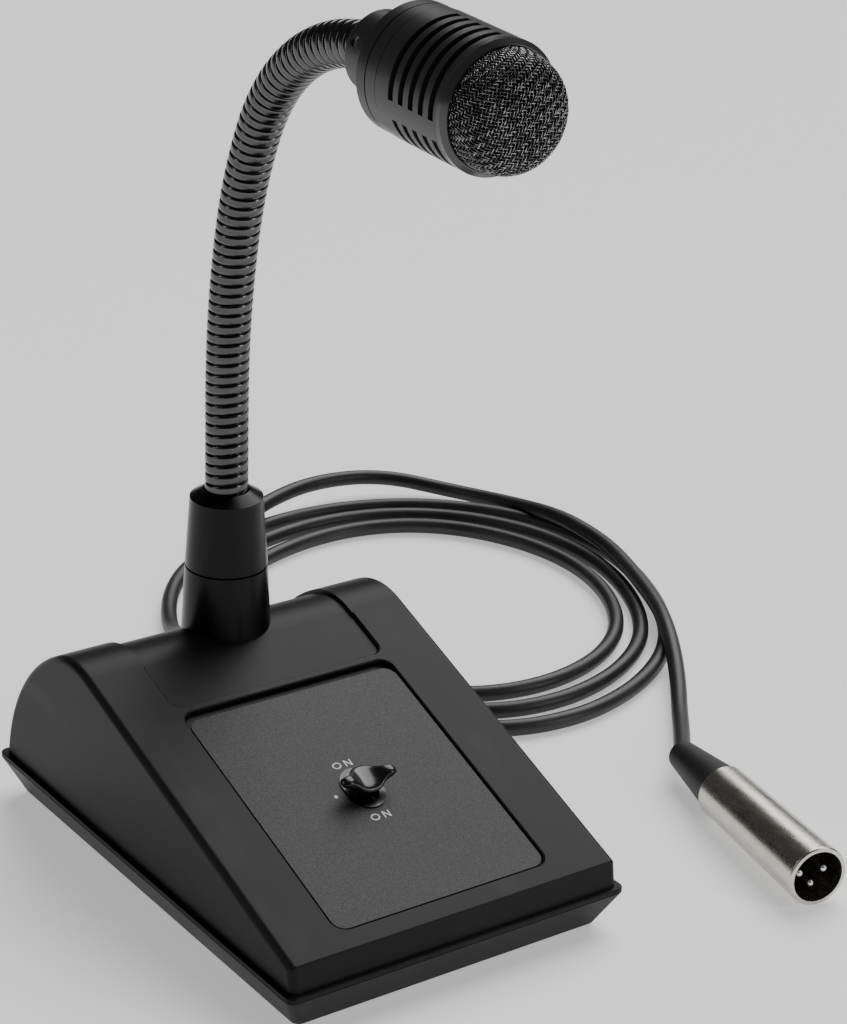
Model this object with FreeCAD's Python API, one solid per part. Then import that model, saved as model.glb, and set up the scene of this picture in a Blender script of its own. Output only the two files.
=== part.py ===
"""Gooseneck paging microphone with a desk base, a talk switch and a lead with a 3-pin plug.

Millimetres. The origin is on the table under the middle of the base, +Z up, +Y to the rear, +X to
the right of someone who speaks into it. Every sub-part is built by its own function and written as
one STEP file to parts/.
"""
import FreeCAD, Part
import math
import os

V = FreeCAD.Vector
X_AXIS, Y_AXIS, Z_AXIS = V(1, 0, 0), V(0, 1, 0), V(0, 0, 1)

# ---------------------------------------------------------------- driving dimensions
# Base
rim_width = 114.0            # widest line of the base, at the rim of the tray
rim_depth = 167.8
foot_height = 1.0            # the rubber pad stands the tray off the table
rim_height = 12.5            # rim above the underside of the tray
skirt_inset = 5.5            # how far the skirt tapers in below the rim
rim_band = 1.6               # upright band of the rim above the tapered skirt
rim_corner = 2.5
rim_edge_round = 0.35
tray_wall = 2.4
tray_floor = 2.4
housing_inset = 1.7          # ledge left on the rim outside the upper housing
housing_wall = 3.0
front_face_height = 8.0      # near-upright front face of the housing above the rim
front_face_lean = 1.2
slope_angle = 19.2           # operating surface, degrees
ridge_radius = 24.7
ridge_end_angle = 26.0
rear_radius = 58.4
rear_end_angle = 82.0
side_edge_round = 2.2        # long edges between the sides and the top
front_edge_round = 0.7       # between the front face and the slope
seat_gap = 0.25              # clearance between pieces that drop into each other

# Control plate in its pocket on the slope
plate_width = 70.8
plate_length = 85.4
plate_start = 7.1            # from the front edge of the slope to the plate
plate_thickness = 1.3
plate_sink = 0.6             # plate face below the housing face
plate_corner = 4.0
plate_gap = 0.6
pocket_rear_gap = 3.2        # the pocket runs on behind the plate
pocket_chamfer = 0.35

# Raised field around the pedestal
field_half_width = 36.3
field_start = 98.4
field_depth = 1.2
field_chamfer = 0.5
field_edge_run = 18.0        # from the field's front edge to where the slope starts to curve
field_corner = 4.0
field_rear_z = 26.0

# Talk switch
switch_along = 51.4          # from the front edge of the slope to the middle of the switch
slot_length = 13.2
slot_width = 9.0
bezel_flange = 1.3
bezel_rise = 0.5
lever_half_span = 9.6
lever_rise = 7.6             # lobes of the paddle above the plate
lever_thickness = 3.8
lever_lean = 9.0             # degrees, the paddle leans to the front of the base
lever_body_radius = 5.6      # domed body over the slot, between the lobes
lever_body_low = 1.7
lever_body_rise = 4.4
lever_pivot_depth = 9.0      # pivot pin below the plate face
lever_drum_radius = 6.9
lever_drum_half = 3.9        # the drum is flat at its front and back
lever_drum_width = 6.2

# Pedestal
pedestal_y = 43.3
pedestal_foot_radius = 13.6
pedestal_seam_radius = 12.5
pedestal_top_radius = 11.0
pedestal_seam_z = 79.2
pedestal_top_z = 101.4
pedestal_chamfer = 3.9
pedestal_chamfer_height = 2.4
seam_gap = 0.6

# Gooseneck: a straight foot and three arcs, each tangent to the next
neck_radius = 6.5
neck_bore = 2.6
neck_straight = 31.1
neck_arcs = ((258.0, 0.0, 12.0), (139.0, 12.0, 26.0), (63.5, 26.0, 92.4))
joint_ball_radius = 6.4
joint_cup_radius = 6.75
joint_cup_offset = 2.15     # from the hinge to the rim of the cup
foot_engage = 6.5            # how far the neck goes into the pedestal
neck_hinges = ((14.0, "sway"), (42.0, "pitch"), (56.0, "sway"), (70.0, "pitch"), (84.0, "sway"),
               (99.0, "pitch"), (119.0, "pitch"), (136.0, "pitch"), (153.0, "pitch"),
               (168.5, "pitch"), (184.5, "pitch"))

# Microphone head, along its own axis from the rear shoulder towards the grille
head_radius = 17.8
head_length = 39.0
head_wall = 1.7
collar_radius = 11.2
collar_length = 15.0
collar_engage = 9.5          # how far the neck end goes into the collar
back_cap_length = 9.5
groove_width = 0.45
groove_depth = 0.5
groove_place = 4.3
slot_count = 5
slot_pitch = 4.35
head_slot_width = 2.1
first_slot = 16.4
slot_span = 102.0
slot_groups = 3
slot_web_angle = 255.0
front_ring_length = 3.0
front_ring_bore = 16.2
front_bevel = 1.3
dome_height = 12.3
dome_side_power = 0.51       # below 1, the dome's side stands steeper and its top is flatter
dome_top_power = 0.69
dome_wall = 1.0
capsule_radius = 12.4
capsule_start = 17.0
capsule_length = 13.0

# Lead and plug
cord_diameter = 5.6
coil_height = 2.0            # in cord diameters
gland_x = 31.5
gland_z = 22.0
plug_radius = 9.5
plug_rear_radius = 8.6
plug_shell_length = 57.0
plug_bore = 8.1
plug_socket_depth = 17.0
plug_nose = (113.1, -104.0)  # middle of the mouth of the plug, on the table plan
plug_tail = (124.0, -47.4)   # where the boot meets the shell
boot_length = 27.5
boot_wide_radius = 8.0
boot_narrow_radius = 4.6
pin_radius = 1.2
pin_circle = 4.1

# Hand-chosen route of the lead, from the gland to the coil and from the coil to the plug
lead_route = ((31.5, 99.4, 22.0), (32.0, 111.4, 19.9), (33.6, 123.0, 14.6), (36.6, 134.2, 8.4),
              (41.0, 146.4, 4.2), (47.0, 158.8, 3.2), (55.0, 171.6, 3.1), (65.0, 183.2, 3.1),
              (77.0, 193.0, 3.2))
tail_route = ((193.0, 72.0, 9.0), (184.6, 55.4, 9.0), (175.6, 39.6, 6.8), (165.4, 24.4, 4.2),
              (154.4, 10.2, 3.4), (145.0, -2.2, 4.4), (136.8, -12.4, 6.2), (129.5, -21.2, 8.1))

# ---------------------------------------------------------------- worked out from the sizes above
slope = math.radians(slope_angle)
half_width = rim_width / 2
half_depth = rim_depth / 2
rim_z = foot_height + rim_height
body_half_width = half_width - housing_inset
front_y = -(half_depth - housing_inset)
slope_y = front_y + front_face_lean
slope_z = rim_z + front_face_height
rear_y = half_depth - housing_inset
neck_start = V(0, pedestal_y, pedestal_top_z)
neck_length = neck_straight + sum(r * math.radians(b - a) for r, a, b in neck_arcs)
table = 0.0


def write(name, shape):
    """Write one sub-part and report its solids and volume."""
    if len(shape.Solids) == 1 and name != "head_sleeve":
        shape = shape.removeSplitter()
    shape.exportStep("parts/" + name + ".step")
    print("%-22s solids %2d  volume %10.1f  valid %s" % (name, len(shape.Solids), shape.Volume,
                                                         shape.isValid()))


# ---------------------------------------------------------------- shared shapes
def box(x0, x1, y0, y1, z0, z1):
    return Part.makeBox(x1 - x0, y1 - y0, z1 - z0, V(x0, y0, z0))


def cylinder(radius, z0, z1, x=0.0, y=0.0):
    return Part.makeCylinder(radius, z1 - z0, V(x, y, z0), Z_AXIS)


def tube(outer, inner, z0, z1, x=0.0, y=0.0):
    return cylinder(outer, z0, z1, x, y).cut(cylinder(inner, z0 - 1, z1 + 1, x, y))


def rounded_wire(half_x, half_y, radius, z):
    """A rectangle with round corners, as lines and arcs."""
    corners = ((half_x, half_y, 0), (-half_x, half_y, 90), (-half_x, -half_y, 180), (half_x, -half_y, 270))
    arcs = []
    for cx, cy, start in corners:
        centre = V(cx - math.copysign(radius, cx), cy - math.copysign(radius, cy), z)
        points = [centre + V(radius * math.cos(math.radians(start + a)),
                             radius * math.sin(math.radians(start + a)), 0) for a in (0, 45, 90)]
        arcs.append(points)
    edges = []
    for i, points in enumerate(arcs):
        edges.append(Part.Arc(*points).toShape())
        following = arcs[(i + 1) % 4]
        edges.append(Part.LineSegment(points[2], following[0]).toShape())
    return Part.Wire(edges)


def rounded_block(half_x, half_y, radius, z0, z1):
    return Part.Face(rounded_wire(half_x, half_y, radius, z0)).extrude(V(0, 0, z1 - z0))


def stadium_block(length, width, z0, z1):
    """A block with half-round ends, long along Y."""
    straight = (length - width) / 2
    radius = width / 2
    edges = [Part.LineSegment(V(radius, -straight, z0), V(radius, straight, z0)).toShape(),
             Part.Arc(V(radius, straight, z0), V(0, straight + radius, z0), V(-radius, straight, z0)).toShape(),
             Part.LineSegment(V(-radius, straight, z0), V(-radius, -straight, z0)).toShape(),
             Part.Arc(V(-radius, -straight, z0), V(0, -straight - radius, z0), V(radius, -straight, z0)).toShape()]
    return Part.Face(Part.Wire(edges)).extrude(V(0, 0, z1 - z0))


def revolved(points):
    """A solid of revolution about Z from (radius, height) points, with straight flanks."""
    corners = [V(r, 0, h) for r, h in points]
    face = Part.Face(Part.makePolygon(corners + [corners[0]]))
    return face.revolve(V(0, 0, 0), Z_AXIS, 360)


def placed(shape, origin, z_direction, x_direction=X_AXIS):
    """Move a shape from its own frame to origin, with its Z along z_direction."""
    w = V(z_direction).normalize()
    u = V(x_direction) - w * w.dot(x_direction)
    u.normalize()
    v = w.cross(u)
    matrix = FreeCAD.Matrix(u.x, v.x, w.x, origin.x, u.y, v.y, w.y, origin.y, u.z, v.z, w.z, origin.z,
                            0, 0, 0, 1)
    moved = shape.copy()
    moved.Placement = FreeCAD.Placement(matrix).multiply(moved.Placement)
    return moved


def on_slope(shape, along=0.0, across=0.0):
    """Move a shape from (across, along, height) on the slope to its place on the base."""
    origin = V(across, slope_y + along * math.cos(slope), slope_z + along * math.sin(slope))
    return placed(shape, origin, V(0, -math.sin(slope), math.cos(slope)))


def group(shapes):
    return Part.makeCompound(list(shapes))


# ---------------------------------------------------------------- side profile of the housing
def profile_points():
    """Corner points and arc centres of the housing's side profile, as (y, z)."""
    ridge_end = math.radians(ridge_end_angle)
    rear_end = math.radians(rear_end_angle)
    across = ridge_radius * (math.sin(slope) + math.sin(ridge_end))
    across += rear_radius * (math.sin(rear_end) - math.sin(ridge_end))
    drop = ridge_radius * (math.cos(slope) - math.cos(ridge_end))
    drop += rear_radius * (math.cos(ridge_end) - math.cos(rear_end))
    # the slope ends where the arcs behind it land on the rear of the rim
    lean = 1 / math.tan(rear_end)
    top_y = (rear_y - across + lean * (rim_z - slope_z + drop + slope_y * math.tan(slope)))
    top_y /= 1 + lean * math.tan(slope)
    top_z = slope_z + (top_y - slope_y) * math.tan(slope)
    ridge_centre = (top_y + ridge_radius * math.sin(slope), top_z - ridge_radius * math.cos(slope))
    ridge_stop = (ridge_centre[0] + ridge_radius * math.sin(ridge_end),
                  ridge_centre[1] + ridge_radius * math.cos(ridge_end))
    rear_centre = (ridge_stop[0] - rear_radius * math.sin(ridge_end),
                   ridge_stop[1] - rear_radius * math.cos(ridge_end))
    return ridge_centre, rear_centre


ridge_centre, rear_centre = profile_points()


def on_arc(centre, radius, degrees):
    a = math.radians(degrees)
    return (centre[0] + radius * math.sin(a), centre[1] + radius * math.cos(a))


def surface_z(y, inset=0.0):
    """Height of the housing's top at y, inset below its outer face."""
    start = on_arc(ridge_centre, ridge_radius - inset, -slope_angle)
    stop = on_arc(ridge_centre, ridge_radius - inset, ridge_end_angle)
    if y < start[0]:
        return start[1] - (start[0] - y) * math.tan(slope)
    if y < stop[0]:
        return ridge_centre[1] + math.sqrt((ridge_radius - inset) ** 2 - (y - ridge_centre[0]) ** 2)
    return rear_centre[1] + math.sqrt((rear_radius - inset) ** 2 - (y - rear_centre[0]) ** 2)


def profile_solid(inset, half_x, bottom):
    """The housing's profile, inset all round, extruded across the base."""
    lean = math.atan2(front_face_lean, front_face_height)
    ridge = ridge_radius - inset
    rear = rear_radius - inset
    c = on_arc(ridge_centre, ridge, -slope_angle)
    c_mid = on_arc(ridge_centre, ridge, (ridge_end_angle - slope_angle) / 2)
    d = on_arc(ridge_centre, ridge, ridge_end_angle)
    e_mid = on_arc(rear_centre, rear, (ridge_end_angle + rear_end_angle) / 2)
    e = on_arc(rear_centre, rear, rear_end_angle)
    f = (e[0] + (e[1] - bottom) / math.tan(math.radians(rear_end_angle)), bottom)
    # the front face, moved in by the inset, meets the slope line of this inset
    foot_y = front_y + inset / math.cos(lean) - rim_z * math.tan(lean)
    b_z = c[1] - (c[0] - foot_y) * math.tan(slope)
    b_z /= 1 - math.tan(lean) * math.tan(slope)
    a = (foot_y + bottom * math.tan(lean), bottom)
    b = (foot_y + b_z * math.tan(lean), b_z)
    p = [V(-half_x, y, z) for y, z in (a, b, c, c_mid, d, e_mid, e, f)]
    edges = [Part.LineSegment(p[0], p[1]).toShape(), Part.LineSegment(p[1], p[2]).toShape(),
             Part.Arc(p[2], p[3], p[4]).toShape(), Part.Arc(p[4], p[5], p[6]).toShape(),
             Part.LineSegment(p[6], p[7]).toShape(), Part.LineSegment(p[7], p[0]).toShape()]
    return Part.Face(Part.Wire(edges)).extrude(V(2 * half_x, 0, 0))


# ---------------------------------------------------------------- base
boss_x = body_half_width - 11.0
boss_front_y = front_y + 13.0
boss_rear_y = rear_y - 17.0
boss_places = [(sx * boss_x, y) for y in (boss_front_y, boss_rear_y) for sx in (-1, 1)]
boss_radius = 3.6
screw_radius = 1.5
screw_hole = 1.25
gland_radius = 5.0
gland_y = rear_centre[0] + math.sqrt(rear_radius ** 2 - (gland_z - rear_centre[1]) ** 2)


def upper_housing():
    """One moulded shell: sloping top, round ridge, rear wall and sides, with bosses inside."""
    outer = profile_solid(0, body_half_width, rim_z)
    edges = []
    for edge in outer.Edges:
        middle = edge.valueAt((edge.FirstParameter + edge.LastParameter) / 2)
        on_side = abs(abs(middle.x) - body_half_width) < 0.01
        if on_side and middle.z > rim_z + 0.5:
            edges.append(edge)
    upright = [e for e in edges if e.BoundBox.YLength < front_face_lean + 0.2]
    along = [e for e in edges if e not in upright]
    outer = outer.makeFillet(side_edge_round, upright + along)
    front = [e for e in outer.Edges if e.BoundBox.XLength > body_half_width
             and abs(e.BoundBox.YMin - slope_y) < 0.05 and abs(e.BoundBox.ZMin - slope_z) < 0.05]
    outer = outer.makeFillet(front_edge_round, front)
    inner = profile_solid(housing_wall, body_half_width - housing_wall, rim_z - 1)
    shell = outer.cut(inner)
    # bosses that the tray's screws go up into
    posts = []
    for x, y in boss_places:
        post = cylinder(boss_radius, rim_z - 4.0, surface_z(y, housing_wall) + 1.0, x, y)
        posts.append(post.common(profile_solid(housing_wall - 0.5, body_half_width - 1, 0)))
    shell = shell.fuse(posts)
    for x, y in boss_places:
        shell = shell.cut(cylinder(screw_hole, rim_z - 5, rim_z + 8, x, y))
    # pocket for the control plate, opening for the switch under it
    middle = plate_start + (plate_length + pocket_rear_gap - plate_gap) / 2
    pocket_half = (plate_length + pocket_rear_gap + plate_gap) / 2
    pocket = rounded_block(plate_width / 2 + plate_gap, pocket_half, plate_corner + plate_gap,
                           -(plate_sink + plate_thickness), 10)
    shell = shell.cut(on_slope(pocket, middle))
    lip = [rounded_wire(plate_width / 2 + plate_gap + grow, pocket_half + grow, plate_corner + plate_gap, height)
           for grow, height in ((0.0, -pocket_chamfer), (2 * pocket_chamfer, pocket_chamfer))]
    shell = shell.cut(on_slope(Part.makeLoft(lip, True, True), middle))
    window = rounded_block(14.0, 17.0, 2.0, -20, 10)
    shell = shell.cut(on_slope(window, switch_along))
    # sunken field around the pedestal, over the ridge and down the rear
    skin = profile_solid(-2.0, field_half_width, rim_z).cut(profile_solid(field_depth, field_half_width + 5, 0))
    field_length = 200.0
    reach = rounded_block(field_half_width, field_length / 2, field_corner, -60, 40)
    region = on_slope(reach, field_start + field_length / 2).common(
        box(-60, 60, -90, 120, field_rear_z, 100))
    shell = shell.cut(skin.common(region))
    # the field's edge is broken where it lies on the flat slope
    edge = [rounded_wire(field_half_width + grow, field_length / 2 + grow, field_corner, height)
            for grow, height in ((0.0, -field_chamfer), (2 * field_chamfer, field_chamfer))]
    edge = Part.makeLoft(edge, True, True).common(
        box(-60, 60, -field_length / 2 - 5, field_edge_run - field_length / 2, -5, 5))
    shell = shell.cut(on_slope(edge, field_start + field_length / 2))
    # round hole for the neck's threaded foot and one for the lead's gland
    shell = shell.cut(cylinder(stud_radius + seat_gap, 30, 90, 0, pedestal_y))
    shell = shell.cut(Part.makeCylinder(gland_radius, 40, V(gland_x, gland_y - 20, gland_z), Y_AXIS))
    return shell


def tapered_ring(extra, z0):
    """The tray's outside: an upright rim band above a skirt that tapers in."""
    top = rim_z
    band = rounded_block(half_width - extra, half_depth - extra, rim_corner, top - rim_band, top)
    low = rounded_wire(half_width - skirt_inset - extra, half_depth - skirt_inset - extra, rim_corner, z0)
    high = rounded_wire(half_width - extra, half_depth - extra, rim_corner, top - rim_band)
    skirt = Part.makeLoft([low, high], True, True)
    return band, skirt


def bottom_tray():
    """The tray closes the base from below; its rim is the widest line of the object."""
    band, skirt = tapered_ring(0.0, foot_height)
    inner_band, inner_skirt = tapered_ring(tray_wall, foot_height)
    rim_edges = [e for e in band.Edges if e.BoundBox.ZLength < 0.01]
    body = band.makeFillet(rim_edge_round, rim_edges).fuse(skirt)
    hollow = inner_band.fuse(inner_skirt).fuse(inner_band.translated(V(0, 0, rim_band - 0.2)))
    cutter = hollow.common(box(-100, 100, -120, 120, foot_height + tray_floor, 60))
    body = body.cut(cutter)
    # posts meet the housing's bosses; the screws pass through them
    for x, y in boss_places:
        body = body.fuse(cylinder(boss_radius + 0.6, foot_height + 1, rim_z - 4.0, x, y))
    for x, y in boss_places:
        body = body.cut(cylinder(screw_radius + 0.2, -1, 30, x, y))
        body = body.cut(cylinder(screw_head_radius + 0.3, -1, foot_height + 2.2, x, y))
    body = body.cut(rounded_block(pad_half[0] + seat_gap, pad_half[1] + seat_gap, pad_corner, -1,
                                  foot_height + pad_seat))
    # two long ribs stiffen the floor under the ballast
    for x in (-rib_x, rib_x):
        body = body.fuse(box(x - 1, x + 1, -half_depth + 24, half_depth - 26, foot_height + 1, ballast_z))
    for x, y in ballast_screw_places:
        body = body.fuse(cylinder(3.4, foot_height + 1, ballast_z, x, y))
        body = body.cut(cylinder(screw_hole, foot_height + 1.5, ballast_z + 1, x, y))
    return body


pad_half = (34.0, 62.0)
pad_corner = 5.0
pad_seat = 0.8
screw_head_radius = 2.7
rib_x = 22.0
ballast_z = foot_height + tray_floor + 2.6
ballast_thickness = 4.0
ballast_half = (34.0, 50.0)
ballast_screw_places = [(sx * 30.0, sy * 44.0) for sx in (-1, 1) for sy in (-1, 1)]


def rubber_pad():
    """Ribbed anti-slip rubber pad, glued in a shallow recess under the tray."""
    top = foot_height + pad_seat
    pad = rounded_block(pad_half[0], pad_half[1], pad_corner, table, top)
    for k in range(-3, 4):
        y = 9.0 + 18.0 * k
        pad = pad.cut(box(-pad_half[0] + 5, pad_half[0] - 5, y - 1.5, y + 1.5, -1, 0.5))
    return pad


def tray_screws():
    """Four pan-head screws from below into the housing's bosses."""
    screws = []
    head_z = foot_height + 2.2
    for x, y in boss_places:
        shank = cylinder(screw_hole - 0.02, head_z - 0.1, rim_z + 7.0, x, y)
        head = cylinder(screw_head_radius, head_z - 1.6, head_z, x, y)
        recess = box(x - 1.6, x + 1.6, y - 0.4, y + 0.4, head_z - 2, head_z - 0.9)
        screws.append(shank.fuse(head).cut(recess))
    return group(screws)


def ballast_plate():
    """Steel plate on the ribs of the tray; its weight keeps the base still."""
    hx, hy = ballast_half
    plate = rounded_block(hx, hy, 4.0, ballast_z, ballast_z + ballast_thickness)
    for x, y in ballast_screw_places:
        plate = plate.cut(cylinder(screw_radius + 0.3, 0, 30, x, y))
    return plate


def ballast_screws():
    screws = []
    top = ballast_z + ballast_thickness
    for x, y in ballast_screw_places:
        shank = cylinder(screw_hole - 0.02, foot_height + 2.6, top + 0.1, x, y)
        head = cylinder(screw_head_radius, top, top + 1.8, x, y)
        screws.append(shank.fuse(head).cut(box(x - 1.6, x + 1.6, y - 0.4, y + 0.4, top + 1.0, top + 3)))
    return group(screws)


# ---------------------------------------------------------------- control plate and talk switch
def control_plate():
    """Textured plate, dropped into its pocket; the switch's bezel comes up through it."""
    middle = plate_start + plate_length / 2
    plate = rounded_block(plate_width / 2, plate_length / 2, plate_corner,
                          -(plate_sink + plate_thickness), -plate_sink)
    opening = stadium_block(slot_length + 0.2, slot_width + 0.2, -10, 10)
    opening.translate(V(0, switch_along - middle, 0))
    return on_slope(plate.cut(opening), middle)


def switch_bezel():
    """Moulded guide with a half-round ended slot; a thin flange lies on the plate."""
    top = -plate_sink
    flange = stadium_block(slot_length + 2 * bezel_flange, slot_width + 2 * bezel_flange, top, top + bezel_rise)
    neck = stadium_block(slot_length, slot_width, top - plate_thickness - 2.4, top + 0.1)
    body = flange.fuse(neck)
    body = body.cut(stadium_block(slot_length - 1.4, slot_width - 1.4, top - 8, top + 4))
    return on_slope(body, switch_along)


def switch_frame():
    """U-shaped switch frame under the plate; its cheeks carry the lever's pin."""
    top = -plate_sink - plate_thickness - 2.5
    cheek = lever_drum_width / 2 + 0.4
    low = top - switch_frame_depth
    plate = box(-9.5, 9.5, -15, 15, top - 1.0, top)
    frame = plate.fuse([box(cheek, cheek + 1.2, -9, 9, low, top), box(-cheek - 1.2, -cheek, -9, 9, low, top)])
    frame = frame.cut(box(-cheek + 0.01, cheek - 0.01, -9.5, 9.5, top - 2, top + 1))
    pin_z = -plate_sink - lever_pivot_depth
    frame = frame.cut(Part.makeCylinder(lever_pin_radius, 30, V(-15, 0, pin_z), X_AXIS))
    for y in (-12.5, 12.5):
        frame = frame.cut(cylinder(1.2, -30, 10, 0, y))
    return on_slope(frame, switch_along)


lever_pin_radius = 1.1
switch_frame_depth = 13.0
lever_stem = 2.9             # half the stem's run along the slope
lever_stem_width = 4.6
contact_block_depth = 5.0


def lever_pin():
    """Pivot pin of the lever, held in the frame's cheeks."""
    reach = lever_drum_width / 2 + 2.0
    pin = Part.makeCylinder(lever_pin_radius - 0.02, 2 * reach,
                            V(-reach, 0, -plate_sink - lever_pivot_depth), X_AXIS)
    return on_slope(pin, switch_along)


def switch_lever():
    """Drum, stem and two-lobed paddle, moulded in one piece; it rocks along the slope."""
    pin_z = -plate_sink - lever_pivot_depth
    half = lever_drum_width / 2
    drum = Part.makeCylinder(lever_drum_radius, 2 * half, V(-half, 0, pin_z), X_AXIS)
    drum = drum.common(box(-half, half, -lever_drum_half, lever_drum_half, pin_z - 6, pin_z + 20))
    bore = Part.makeCylinder(lever_pin_radius + 0.15, 40, V(-20, 0, pin_z), X_AXIS)
    stem_half = lever_stem_width / 2
    stem = box(-stem_half, stem_half, -lever_stem, lever_stem, pin_z, lever_body_low + 0.4)
    # a domed body hides the slot; its underside clears the bezel when the lever rocks
    flat = lever_body_low
    rise = lever_body_rise - flat
    sphere_radius = (lever_body_radius ** 2 + rise ** 2) / (2 * rise)
    body = Part.makeSphere(sphere_radius, V(0, 0, lever_body_rise - sphere_radius))
    body = body.common(box(-10, 10, -10, 10, flat, 20))
    # outline of the paddle, seen along the slope: two lobes that rise to the sides, a dip between them
    s = lever_half_span
    top = -plate_sink + lever_rise
    left = [V(-s * 0.42, 0, flat), V(-s + 1.2, 0, top - 4.6), V(-s, 0, top - 2.6), V(-s * 0.88, 0, top - 0.7),
            V(-s * 0.66, 0, top), V(-s * 0.36, 0, top - 1.0), V(0, 0, top - 2.9)]
    right = [V(-q.x, 0, q.z) for q in reversed(left[:-1])]
    curve_left = Part.BSplineCurve()
    curve_left.interpolate(left[1:])
    curve_right = Part.BSplineCurve()
    curve_right.interpolate([left[-1]] + right[:-1])
    edges = [Part.LineSegment(left[0], left[1]).toShape(), curve_left.toShape(), curve_right.toShape(),
             Part.LineSegment(right[-2], right[-1]).toShape(), Part.LineSegment(right[-1], left[0]).toShape()]
    paddle = Part.Face(Part.Wire(edges)).extrude(V(0, lever_thickness, 0))
    paddle.translate(V(0, -lever_thickness / 2, 0))
    paddle.rotate(V(0, 0, flat), X_AXIS, lever_lean)
    lever = drum.fuse([stem, body, paddle]).cut(bore)
    return on_slope(lever, switch_along)


def switch_contact_block():
    """Insulated contact block hung under the switch frame."""
    top = -plate_sink - plate_thickness - 2.5 - switch_frame_depth - 0.1
    block = box(-8.0, 8.0, -10, 10, top - contact_block_depth, top)
    block = block.cut(box(-3.0, 3.0, -6, 6, top - 2.0, top + 1))
    return on_slope(block, switch_along)


def switch_terminals():
    """Six solder lugs under the contact block."""
    top = -plate_sink - plate_thickness - 2.5 - switch_frame_depth - 0.1 - contact_block_depth
    lugs = [box(x - 0.4, x + 0.4, y - 1.1, y + 1.1, top - 3.2, top)
            for x in (-5, 5) for y in (-6.5, 0, 6.5)]
    return on_slope(group(lugs), switch_along)


def switch_screws():
    """Two screws up through the switch frame into the bezel's studs."""
    screws = []
    top = -plate_sink - plate_thickness - 2.5
    for y in (-12.5, 12.5):
        shank = cylinder(1.15, top - 1.2, -plate_sink - plate_thickness - 0.02, 0, y)
        screws.append(shank.fuse(cylinder(2.2, top - 2.6, top - 1.0, 0, y)))
    return on_slope(group(screws), switch_along)


def terminal_board():
    """Small circuit board on two posts, where the neck lead, the switch and the cord meet."""
    z = ballast_z + ballast_thickness + 4.0
    board = box(-30, -4, 10, 40, z, z + 1.6)
    for x, y in board_posts:
        board = board.cut(cylinder(1.3, 0, 60, x, y))
    return board


board_posts = ((-26.5, 25.0), (-7.5, 25.0))


def board_standoffs():
    low = ballast_z + ballast_thickness
    posts = []
    for x, y in board_posts:
        post = cylinder(2.4, low, low + 4.0, x, y)
        stud = cylinder(1.25, low + 3.9, low + 5.6 + 0.8, x, y)
        cap = cylinder(2.2, low + 5.6, low + 6.6, x, y)
        posts.append(post.fuse([stud, cap]))
    return group(posts)


# ---------------------------------------------------------------- pedestal
stud_radius = 7.4


def cone_ring(radius_low, radius_high, z0, z1):
    return Part.makeCone(radius_low, radius_high, z1 - z0, V(0, pedestal_y, z0), Z_AXIS)


def pedestal_lower():
    """Lower cone; its foot is cut to the curve of the housing's sunken field."""
    low = 44.0
    grow = (pedestal_foot_radius - pedestal_seam_radius) / (pedestal_seam_z - 58.0)
    cone = cone_ring(pedestal_seam_radius + grow * (pedestal_seam_z - low), pedestal_seam_radius,
                     low, pedestal_seam_z)
    cone = cone.cut(profile_solid(field_depth, body_half_width, 0))
    return cone.cut(cylinder(stud_radius + seat_gap, 30, 90, 0, pedestal_y))


def pedestal_upper():
    """Upper cone with a wide chamfer; it screws down over the neck's foot."""
    low = pedestal_seam_z + seam_gap
    edge_z = pedestal_top_z
    grow = (pedestal_seam_radius - pedestal_top_radius) / (edge_z - pedestal_seam_z)
    cone = cone_ring(pedestal_seam_radius - 0.05, pedestal_top_radius, low, edge_z)
    cap = cone_ring(pedestal_top_radius, pedestal_top_radius - pedestal_chamfer, edge_z,
                    edge_z + pedestal_chamfer_height)
    spigot = cylinder(pedestal_seam_radius - 1.2, pedestal_seam_z, low + 0.1, 0, pedestal_y)
    body = cone.fuse([cap, spigot])
    return body.cut(cylinder(neck_radius + 0.35, 60, 120, 0, pedestal_y)).cut(
        cylinder(stud_radius + seat_gap, 60, 95, 0, pedestal_y))


washer_radius = 12.0
washer_thickness = 1.2
nut_corner_radius = 11.6
nut_height = 6.0
washer_top = surface_z(pedestal_y + washer_radius, housing_wall)
nut_z = washer_top - washer_thickness - nut_height
stud_low_z = nut_z - 4.0


def neck_stud():
    """Hollow threaded foot of the gooseneck, through both cones and the housing."""
    body = cylinder(stud_radius, stud_low_z, 94.8, 0, pedestal_y)
    return body.cut(cylinder(neck_bore + 1.0, 0, 120, 0, pedestal_y))


def neck_washer():
    """Washer against the underside of the housing."""
    return tube(washer_radius, stud_radius + seat_gap, washer_top - washer_thickness, washer_top, 0, pedestal_y)


def neck_nut():
    """Hexagon nut that clamps the pedestal to the housing from inside."""
    corners = []
    for k in range(6):
        turn = math.radians(60 * k)
        corners.append(V(nut_corner_radius * math.cos(turn), pedestal_y + nut_corner_radius * math.sin(turn), nut_z))
    hexagon = Part.Face(Part.makePolygon(corners + [corners[0]])).extrude(V(0, 0, nut_height))
    return hexagon.cut(cylinder(stud_radius, 0, 90, 0, pedestal_y))


# ---------------------------------------------------------------- gooseneck
def neck_at(s):
    """Point of the neck's centreline at length s, and its angle from upright in radians."""
    if s <= neck_straight:
        return V(0, pedestal_y, neck_start.z + s), 0.0
    y, z, left = pedestal_y, neck_start.z + neck_straight, s - neck_straight
    for radius, a, b in neck_arcs:
        start, stop = math.radians(a), math.radians(b)
        turned = min(left / radius, stop - start)
        angle = start + turned
        y += radius * (math.cos(angle) - math.cos(start))
        z += radius * (math.sin(angle) - math.sin(start))
        left -= radius * turned
        if left <= 1e-9:
            break
    along = V(0, -math.sin(angle), math.cos(angle))
    return V(0, y, z) + along * left, angle


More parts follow.
